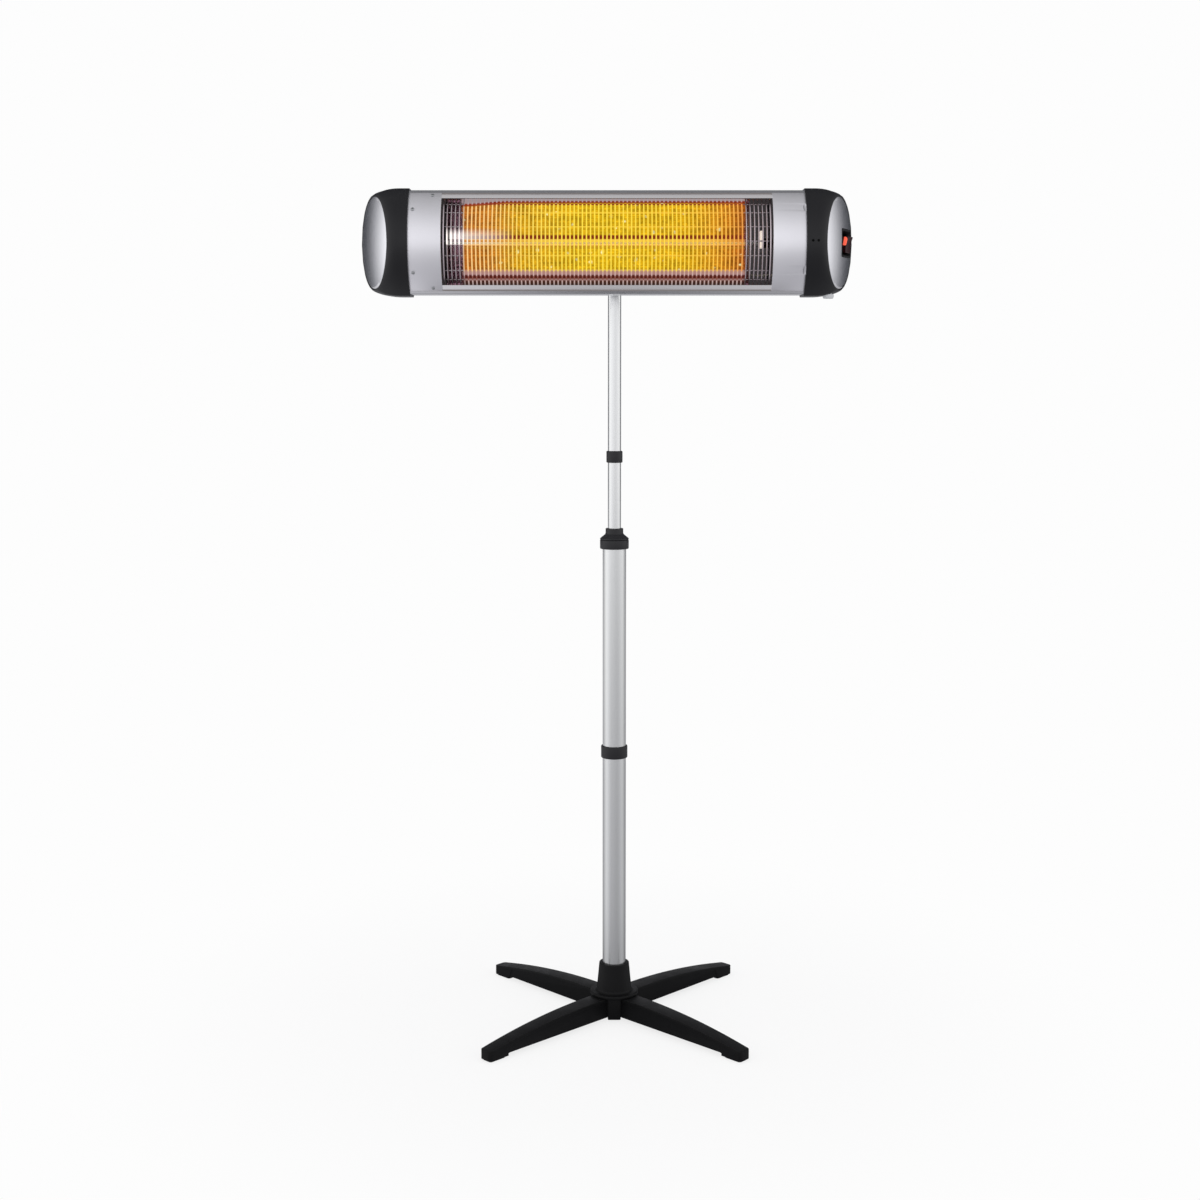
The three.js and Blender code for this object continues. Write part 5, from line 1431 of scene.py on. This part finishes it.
@dataclass
class Guard:
    """The wire guard: upright wires between two rails, with cross rods behind them."""

    section: HeadSection = field(default_factory=HeadSection)
    radius: float = 86.087
    wire: float = 2
    end: float = 236.5
    end_width: float = 3
    count: int = 79
    rail_heights: Point = (62, 65.4)
    rail_margin: float = 0.5
    rod_radius: float = 83.5
    rod_heights: tuple[float, ...] = (-53.6, -41, -20.5, 0, 20.5, 41, 53.6)
    post_height: float = 54.6

    def bow(self, x: float, width: float, radius: float, reach: float) -> Shape:
        """An upright wire: a circle spun about the front's centre line.

        Args:
            x: its place along the head.
            width: its thickness along the head.
            radius: how far from the centre line its middle runs.
            reach: how far up and down it goes.

        Returns:
            The wire.
        """
        centre, lean = self.section.centre, self.section.lean(radius, reach)
        bm = bmesh.new()
        bmesh.ops.create_circle(bm, segments=10, radius=self.wire / 2, cap_ends=True)
        shape = scaled(width / self.wire, 1, 1)
        moved(bm, at(0, -centre, 0), swung(lean, "X"), at(x, -radius, 0), shape)
        spun(bm, bm.faces[:], -2 * lean, 20, cent=(0, -centre, 0), axis=(1, 0, 0))
        return tidy(bm)

    def rail(self, *place: Matrix) -> Shape:
        """A rail behind the lip of the housing, drawn for the top.

        Args:
            place: the matrices that place it.

        Returns:
            The rail.
        """
        s, (low, high), middle = self.section, self.rail_heights, (self.section.centre, 0)
        outer, inner = self.radius + self.rail_margin, self.radius - self.wire - self.rail_margin
        sketch = Sketch((s.forward(outer, low), low)).arc(middle, s.lean(outer, high) - s.lean(outer, low), 4)
        sketch.to((s.forward(inner, high), high)).arc(middle, s.lean(inner, low) - s.lean(inner, high), 4)
        bm = pulled(sketch.close(), Plane.SECTION, (-2 * self.end, 0, 0))
        return moved(bm, *place, at(self.end, 0, 0))

    def wires(self) -> None:
        """The upright wires, their rails and the end bars."""
        radius, reach = self.radius - self.wire / 2, sum(self.rail_heights) / 2
        last = self.end - self.end_width / 2
        pitch = 2 * last / (self.count + 1)
        shapes = [self.bow(pitch * (i + 1) - last, self.wire, radius, reach) for i in range(self.count)]
        shapes += [self.bow(x, self.end_width, radius, reach) for x in (-last, last)]
        bm = merged(*shapes, self.rail(), self.rail(FLIPPED))
        finished("guard_grille", bm, GUARD_WIRE, Body.HEAD, "guard_steel", "guard_wires")

    def rods(self) -> None:
        """The cross rods and the posts that carry them at both ends."""
        reach, middle, thick = self.end - self.end_width, self.rod_radius - self.wire / 2, self.wire / 2
        shapes = []
        for up in self.rod_heights:
            bar = turned(Sketch((0, -reach), (thick, -reach, 0.3), (thick, reach, 0.3), (0, reach)), 10, 2)
            shapes.append(moved(bar, at(0, -self.section.forward(middle, up), up), ALONG_X))
        finished("guard_rods", merged(*shapes), GUARD_ROD, Body.HEAD, "guard_steel", "guard_cross_rods")
        posts = [self.bow(x, self.wire, middle, self.post_height) for x in (thick - reach, reach - thick)]
        # The posts take painted shade
        finished("guard_posts", merged(*posts), CHAMBER_STEEL, Body.HEAD, "guard_steel")

    def build(self) -> None:
        """Builds the guard."""
        self.wires()
        self.rods()


@dataclass
class EndCaps:
    """The two end caps, their oval trims and what sits in the right one."""

    section: HeadSection = field(default_factory=HeadSection)
    reach: float = 52.97
    depth: float = 45
    slant: float = 29
    half_height: float = 66.5
    half_width: float = 46.4
    rim: float = 2
    wall: float = 2.5
    recess: float = 2.5
    fullness: float = 2.4
    rounding: float = 0.75
    stations: tuple[float, ...] = (
        0.12, 0.24, 0.36, 0.47, 0.57, 0.66, 0.74, 0.81, 0.87, 0.92, 0.955, 0.98, 0.993, 1.0,
    )  # fmt: skip
    sights: Point = (293.6, 301.4)
    sight_depth: float = 2.4
    sight_radius: float = 1.9
    gland_place: tuple[float, float, float] = (322, -46, -80.3)
    gland_hole: tuple[float, float, float] = (6.1, -80, -65)
    switch_hole: Corner = (-5.9, 34.6, -20.9, 20.9, -8, 2)
    trim_radius: float = 60.0
    trim_sheet: float = 2.0
    trim_edge: float = -0.2
    dome: float = 5.8
    dome_steps: int = 20
    switch_back: float = 17.5
    pocket: tuple[float, float, float] = (-23.0, 16.75, 20.5)
    bezel_top: float = 4.6
    switch_body: Corner = (-14, 14, -15.5, 15.5, -20, -1.8)
    well_half: float = 14.4
    rocker_front: float = -7.0
    rocker_radius: float = 12
    rocker_tilt: float = 10

    @property
    def face(self) -> Matrix:
        """The slanted end face: u runs back along it, v up and n out of it.

        Returns:
            The matrix that places a shape drawn as (u, v, n).
        """
        sine, cosine = math.sin(math.radians(self.slant)), math.cos(math.radians(self.slant))
        x = self.section.half_length + self.reach
        return Matrix(((sine, 0, cosine, x), (cosine, 0, -sine, -self.depth), (0, 1, 0, 0), (0, 0, 0, 1)))

    @property
    def front(self) -> float:
        """How far forward the cap's skin lies."""
        return self.section.depth + self.wall + self.section.gap

    @property
    def skirt_end(self) -> float:
        """Where the straight skirt round the housing ends."""
        return self.section.half_length + self.section.overlap + 3 * self.section.gap

    def on_oval(self, forward: float, up: float, grow: float, out: float) -> Vector:
        """The point of the slanted oval that lies in the same direction as a point of the outline.

        Args:
            forward: the outline's point.
            up: the outline's point.
            grow: how much larger the oval is.
            out: how far out of the end face.

        Returns:
            The point in the head's own frame.
        """
        angle, slant = math.atan2(up, forward - self.depth), math.cos(math.radians(self.slant))
        across, tall = (self.half_width + grow) * slant, self.half_height + grow
        reach = across * tall / math.hypot(tall * math.cos(angle), across * math.sin(angle))
        return self.face @ Vector((-reach * math.cos(angle) / slant, reach * math.sin(angle), out))

    def ring(self, points: Sequence[Point], share: float, swell: float, out: float) -> list[Vector]:
        """Where a ring of the skin lies between the skirt's end and the oval.

        Args:
            points: the outline.
            share: how far along it lies.
            swell: how much larger the oval is.
            out: how far out of the end face the oval lies.

        Returns:
            The ring's points.
        """
        drawn = 1 - (1 - share**self.fullness) ** self.rounding
        spots = []
        for forward, up in points:
            start, end = Vector((self.skirt_end, -forward, up)), self.on_oval(forward, up, swell, out)
            spot = start.lerp(end, drawn)
            spot.x = start.x + (end.x - start.x) * share
            spots.append(spot)
        return spots

    def shell(self) -> Shape:
        """The cap's shell: each ring of its skin is pulled out of the one before and set in its place.

        Returns:
            The shell of the right cap.
        """
        s = self.section
        bm = s.outline(s.gap).close().laid(Plane.SECTION)
        narrow = [(-v.co.y, v.co.z) for v in bm.verts]
        outer = s.outline(self.wall + s.gap - 0.02).laid(Plane.SECTION)
        wide = [(-v.co.y, v.co.z) for v in outer.verts]
        outer.free()
        floor, half = -self.recess - self.wall, -self.wall / 2
        ledges = ((self.rim - 0.8, 0.2), (0.8, 0.05), (s.gap, -0.5), (s.gap, -self.recess))
        rings = [self.ring(narrow, share, half, floor) for share in (1.0, *self.stations[::2][::-1])]
        rings += [[Vector((x, -f, u)) for f, u in narrow] for x in (self.skirt_end, s.half_length)]
        rings += [[Vector((x, -f, u)) for f, u in wide] for x in (s.half_length, self.skirt_end)]
        rings += [self.ring(wide, share, self.rim, 0) for share in self.stations]
        rings += [[self.on_oval(f, u, grow, out) for f, u in wide] for grow, out in ledges]
        ring, edges = bm.verts[:], bm.edges[:]
        first = ring
        for vert, spot in zip(ring, rings[0]):
            vert.co = spot
        for spots in rings[1:]:
            grown = bmesh.ops.extrude_edge_only(bm, edges=edges)["geom"]
            edges, fresh = only(bmesh.types.BMEdge, grown), set(only(bmesh.types.BMVert, grown))
            ring = [next(e.other_vert(v) for e in v.link_edges if e.other_vert(v) in fresh) for v in ring]
            for vert, spot in zip(ring, spots):
                vert.co = spot
        for rim in (first, ring):
            bmesh.ops.contextual_create(bm, geom=rim)
        bmesh.ops.recalc_face_normals(bm, faces=bm.faces[:])
        return bm

    def cap(self, side: Side) -> None:
        """One end cap. The right one has holes for its plugs, the gland and the switch.

        Args:
            side: which end it closes.
        """
        bm, front = self.shell(), self.front
        if side is Side.LEFT:
            moved(bm, MIRRORED)
        else:
            size = (self.sight_radius, front - self.sight_depth, front + 2, 24)
            pits = [moved(rod(*size), at(x, 0, 0), FACING_FRONT) for x in self.sights]
            gland = moved(rod(*self.gland_hole, 32), at(*self.gland_place[:2], 0))
            bm = carved(bm, *pits, gland, moved(block(*self.switch_hole), self.face))
        name, node = f"end_cap_shell_{side.value}", f"end_cap_{side.value}"
        finished(name, bm, CAP_NYLON, Body.HEAD, "cap_plastic", node)

    def sight(self, number: int, x: float) -> None:
        """A small black plug sunk in a pit in the front of the right cap: painted shade that darkens the pit.

        Args:
            number: which of the two.
            x: its place along the head.
        """
        floor, front = self.front - self.sight_depth + 0.05, self.front
        profile = Sketch((0, floor), (1.8, floor), (1.8, front - 1.5, 0.3), (0, front - 1.1))
        bm = moved(turned(profile, 24), at(x, 0, 0), FACING_FRONT)
        finished(f"cap_pit_shade_plug_{number}", bm, PAD_RUBBER, Body.HEAD, "cap_plastic")

    def trim(self, side: Side) -> None:
        """The oval trim: a shallow dome turned round and then stretched into an oval.

        Args:
            side: which end it dresses.
        """
        edge, radius, steps, shoulder = self.trim_edge, self.trim_radius, self.dome_steps, 0.985
        below, hollow = edge - self.trim_sheet, self.dome - 0.3
        outside = [i / steps * shoulder for i in range(1, steps)]
        inside = [i / steps for i in range(steps - 2, 0, -1)]
        profile = Sketch((0, edge + self.dome))
        profile.to(*((radius * n, edge + self.dome * (1 - n**2)) for n in outside))
        profile.to((radius * shoulder, edge + self.dome * 0.03), (radius * 0.997, edge - 0.5))
        profile.to((radius, edge - 1.2), (radius, below + 0.3), (radius - 1, below))
        profile.to(*((radius * n, below + hollow * (1 - n**2)) for n in inside), (0, below + hollow))
        bm = moved(turned(profile, 128), scaled(self.half_width / radius, self.half_height / radius, 1))
        if side is Side.RIGHT:
            gap, (low, high, tall) = self.section.gap, self.pocket
            low, high, tall = self.switch_back + low - gap, self.switch_back + high + gap, tall + gap
            bm = carved(bm, rounded_upright(block(low, high, -tall, tall, -9, 12), 3.3))
        bm = moved(bm, *([MIRRORED] if side is Side.LEFT else []), self.face)
        name, node = f"end_oval_{side.value}", f"end_trim_{side.value}"
        finished(name, bm, TRIM_LACQUER, Body.HEAD, "trim_silver", node)

    def bezel(self) -> None:
        """The switch frame: a shallow dish sunk in the trim, with the rocker's well in its rear part."""
        (low, high, tall), half, lip = self.pocket, self.well_half, 1.4
        rim = rounded_upright(block(low, high, -tall, tall, -2.2, self.bezel_top), 3)
        body = merged(eased(rim, 0.6, 60, 3), block(*self.switch_body))
        dish = block(low + lip, high - lip, -tall + lip, tall - lip, -0.6, self.bezel_top + 2)
        for vert in dish.verts:
            if vert.co.z < 0:
                vert.co.x = max(min(vert.co.x, 13.2), self.rocker_front - 2.5)
                vert.co.y *= half / (tall - lip)
        well = block(self.rocker_front - 0.6, 12, -half, half, -13, 14)
        bm = moved(carved(body, rounded_upright(dish, 2), well), self.face, at(self.switch_back, 0, 0))
        finished("switch_bezel", bm, SWITCH_BLACK, Body.HEAD, "black_plastic", "switch_frame")

    def rocker(self) -> None:
        """The rocker: a round belly in the well and a dished top, with a lit window in its front side."""
        end, front = self.rocker_radius, self.rocker_front
        side = Sketch((-end, 0)).arc((0, 0), 180, 16)
        side.to((end, 12.2, 1.2), (6, 11.2), (0, 10.8), (-6, 11.2), (-end, 12.2, 1.2)).close()
        body = pulled(side, Plane.LEVEL, (0, 0, 11.5 - front))
        for vert in body.verts:
            if vert.co.y < 0:
                vert.co.y *= 8.1 / end
        window = Sketch((-1.5, 5.6), (10.8, 5.6, 1.2), (10.8, 9.0, 0.6), (8.4, 11.2, 0.8), (-1.5, 10.6, 1.2))
        lens = pulled(window.close(), Plane.LEVEL, (0, 0, 0.6))
        across = Matrix(((0, 0, 1, front), (1, 0, 0, 0), (0, 1, 0, 0), (0, 0, 0, 1)))
        place = (self.face, at(self.switch_back, 0, -4.5), across, swung(self.rocker_tilt, "Z"))
        body = moved(eased(body, 0.7, 50, 3), *place)
        finished("switch_rocker", body, ROCKER_RED, Body.ROCKER, "rocker_red", "rocker")
        lens = moved(eased(lens, 0.2, 60), *place, at(0, 0, -0.25))
        finished("switch_rocker_lens", lens, ROCKER_LENS, Body.ROCKER, "rocker_red")

    def gland(self) -> None:
        """The cable gland under the right cap."""
        profile = Sketch((4.2, 0), (7.2, 0, 0.8), (8, 3), (8, 6), (5.8, 6), (5.8, 15), (4.2, 15)).close()
        bm = moved(turned(profile, 48, 3), at(*self.gland_place))
        finished("cable_gland_ring", bm, GLAND_NYLON, Body.HEAD, "gland_grey", "cable_gland")

    def build(self) -> None:
        """Builds both ends."""
        for side in Side:
            self.cap(side)
            self.trim(side)
        for number, x in enumerate(self.sights, 1):
            self.sight(number, x)
        self.bezel()
        self.rocker()
        self.gland()
        dress_nodes(WHITE_NYLON, "terminal_block")
        dress_nodes(LEAD_SLEEVE, "lamp_lead_left", "lamp_lead_right")


# Studio


@dataclass
class Studio:
    """A pale floor that fades into a white backdrop, soft lights and the camera. Its sizes are in metres."""

    floor_radius: float = 2.4
    room_radius: float = 11.0
    room_height: float = 9
    mirror_radius: float = 8
    camera_place: tuple[float, float, float] = (-0.010, -2.657, 0.999)
    camera_pitch: float = 85.0
    focal: float = 1748 / 1200 * 36
    shift: float = -74 / 1200
    sky_strength: float = 1.32
    card: str = "#3C3E42"
    side_card: tuple[Point, Point] = ((0.18, 0.42), (0.2, 0.86))
    top_card: tuple[Point, Point] = ((0.4, 0.8), (0.06, 0.24))
    top_card_share: float = 0.68
    aim: tuple[float, float, float] = (0, 0, 0.8)

    def camera(self) -> None:
        """Sets the camera where the photograph was taken from."""
        data = bpy.data.cameras.new("camera")
        data.sensor_width, data.lens, data.shift_y, data.clip_end = 36, self.focal, self.shift, 60
        camera = bpy.data.objects.new("camera", data)
        camera.location = self.camera_place
        camera.rotation_euler = (math.radians(self.camera_pitch), 0, 0)
        bpy.context.collection.objects.link(camera)
        bpy.context.scene.camera = camera

    def paper(self, name: str, fades: bool) -> bpy.types.Material:
        """White paper that glows evenly; near the heater it also takes shadow.

        Args:
            name: the material's name.
            fades: whether it takes shadow near the middle.

        Returns:
            The material.
        """
        made = bpy.data.materials.new(name)
        add = partial(add_node, emptied(made))
        surface = add("Emission", (linear("#FDFDFD"), 1.0))
        if fades:
            span = add("VectorMath", (add("TexCoord").outputs["Object"],), operation="LENGTH")
            near = add("MapRange", (span, 0.25, 0.9, 0.8, 1.0), **SMOOTH)
            surface = add("MixShader", (near, add("BsdfDiffuse", (linear("#FFFFFF"),)), surface))
        add("OutputMaterial", (surface,))
        return made

    def grey_paper(self) -> bpy.types.Material:
        """The floor as the metal sees it: grey round the heater and paler further off.

        Returns:
            The material.
        """
        made = bpy.data.materials.new("studio_floor_grey")
        add = partial(add_node, emptied(made))
        place = add("TexCoord").outputs["Object"]
        span = add("VectorMath", (place,), operation="LENGTH")
        shades = (
            (0.0, "#8E8E90"), (0.035, "#C8C8CA"), (0.08, "#E4E4E6"), (0.18, "#E8E8EA"), (0.4, "#FFFFFF"),
        )  # fmt: skip
        shade = add("ValToRGB", (add("MapRange", (span, 0.0, self.mirror_radius)),), shades)
        split = add("SeparateXYZ", (add("VectorMath", (place,), operation="NORMALIZE"),))
        tones = (
            (0.0, "#C4C4C6"), (0.08, "#CACACC"), (0.3, "#F4F4F6"), (0.5, "#FFFFFF"), (0.75, "#C8C8CA"),
            (1.0, "#B4B4B6"),
        )  # fmt: skip
        around = add("ValToRGB", (add("MapRange", (split.outputs["Y"], -1.0, 1.0)),), tones)
        right = add("MapRange", (split.outputs["X"], -0.1, 0.9, 0.0, 0.28))
        dimmed = add("Mix", (right, add("Mix", (1.0, shade, around), **TINT), linear(NO_LIGHT)), **COLOURS)
        add("OutputMaterial", (add("Emission", (dimmed, 1.1)),))
        return made

    def sheet(self, name: str, profile: Sketch, material: bpy.types.Material) -> bpy.types.Object:
        """Turns a profile into a part of the room, seen by the camera alone.

        Args:
            name: its name.
            profile: its profile, from the middle and up.
            material: its surface.

        Returns:
            The part.
        """
        bm = profile.laid(Plane.LATHE, 8)
        spun(bm, bm.verts[:] + bm.edges[:], 360, 64, use_merge=True)
        bmesh.ops.remove_doubles(bm, verts=bm.verts[:], dist=1e-5)
        part = as_object(name, bm)
        part.data.materials.append(material)
        part.visible_glossy = part.visible_diffuse = part.visible_shadow = False
        return part

    def room(self) -> None:
        """The floor, the backdrop round it and the grey floor that only reflections see."""
        wide, rim, high, step = self.room_radius, self.floor_radius, self.room_height, 0.0002
        self.sheet("studio_floor", Sketch((0, 0), (rim, 0)), self.paper("studio_floor_paper", True))
        wall = Sketch((rim, -step), (wide, -step, 2.0), (wide, high, 4.0), (0, high))
        self.sheet("studio_backdrop", wall, self.paper("studio_backdrop_paper", False))
        below = Sketch((0, -0.001), (self.mirror_radius, -0.001))
        grey = self.sheet("studio_reflection", below, self.grey_paper())
        grey.visible_camera = False
        grey.visible_glossy = grey.visible_diffuse = True

    def sky(self) -> None:
        """What the metal sees: bright sides, a softer front and back, and a dark card on each side behind."""
        world = bpy.data.worlds.new("studio")
        add = partial(add_node, emptied(world))
        split = add("SeparateXYZ", (add("TexCoord").outputs["Generated"],))
        across, back, up = (split.outputs[axis] for axis in "XYZ")
        steep, sideways = (add("Math", (value,), operation="ABSOLUTE") for value in (up, across))
        tones = (
            (0.0, "#ECECEE"), (0.05, "#F0F0F2"), (0.125, "#F4F4F6"), (0.25, "#F8F8FA"), (0.53, "#FFFFFF"),
            (0.6, "#F2F2F4"), (0.68, "#D4D4D6"), (0.82, "#ACACB0"), (1.0, "#B4B4B8"),
        )  # fmt: skip
        around = add("ValToRGB", (add("MapRange", (back, -1.0, 1.0)),), tones)
        fades = ((0.0, "#FFFFFF"), (0.3, "#F6F6F6"), (0.7, "#D0D0D0"), (1.0, "#A6A6A6"))
        tall = add("ValToRGB", (steep,), fades)
        cards = []
        for value, spans in ((sideways, self.side_card), (steep, self.top_card)):
            edges = [add("MapRange", (v, *span), **SMOOTH) for v, span in zip((value, back), spans)]
            cards.append(add("Math", edges, **TIMES))
        softened = add("Math", (cards[1], self.top_card_share), **TIMES)
        darkest = add("Math", (cards[0], softened), operation="MAXIMUM")
        right = add("MapRange", (across, -0.25, 0.3, 0.0, 0.1))
        dimmed = add("Mix", (right, add("Mix", (1.0, around, tall), **TINT), linear(NO_LIGHT)), **COLOURS)
        carded = add("Mix", (darkest, dimmed, linear(self.card)), **COLOURS)
        add("OutputWorld", (add("Background", (carded, self.sky_strength)),))
        bpy.context.scene.world = world

    def light(self, name: str, place: Vector, size: Point, power: float) -> None:
        """A soft box that faces the heater's head.

        Args:
            name: its name.
            place: where it hangs.
            size: its width and height.
            power: its power in watts.
        """
        data = bpy.data.lights.new(name, "AREA")
        data.shape, data.energy = "RECTANGLE", power
        data.size, data.size_y = size
        lamp = bpy.data.objects.new(name, data)
        lamp.location = place
        lamp.rotation_euler = (Vector(self.aim) - place).to_track_quat("-Z", "Y").to_euler()
        lamp.visible_glossy = False
        bpy.context.collection.objects.link(lamp)

    def build(self) -> None:
        """Builds the studio."""
        self.camera()
        self.room()
        self.sky()
        self.light("key_softbox", Vector((-2.2, -2.6, 2.6)), (1.6, 1.6), 9)
        self.light("fill_softbox", Vector((2.6, -2.2, 1.6)), (1.6, 2.2), 12)
        self.light("top_softbox", Vector((0, 0.4, 3.4)), (2.0, 2.0), 34)
        view = bpy.context.scene.view_settings
        view.view_transform, view.look = "Standard", "None"


def main() -> None:
    """Builds the heater and its studio."""
    logging.basicConfig(level=logging.INFO, format="%(name)s: %(message)s")
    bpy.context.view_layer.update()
    Studio().build()
    for assembly in (Base(), Pole(), TiltJoint(), HeadShell(), LampChamber(), Guard(), EndCaps()):
        assembly.build()
        log.info("%s is built", type(assembly).__name__)


if __name__ == "__main__":
    main()
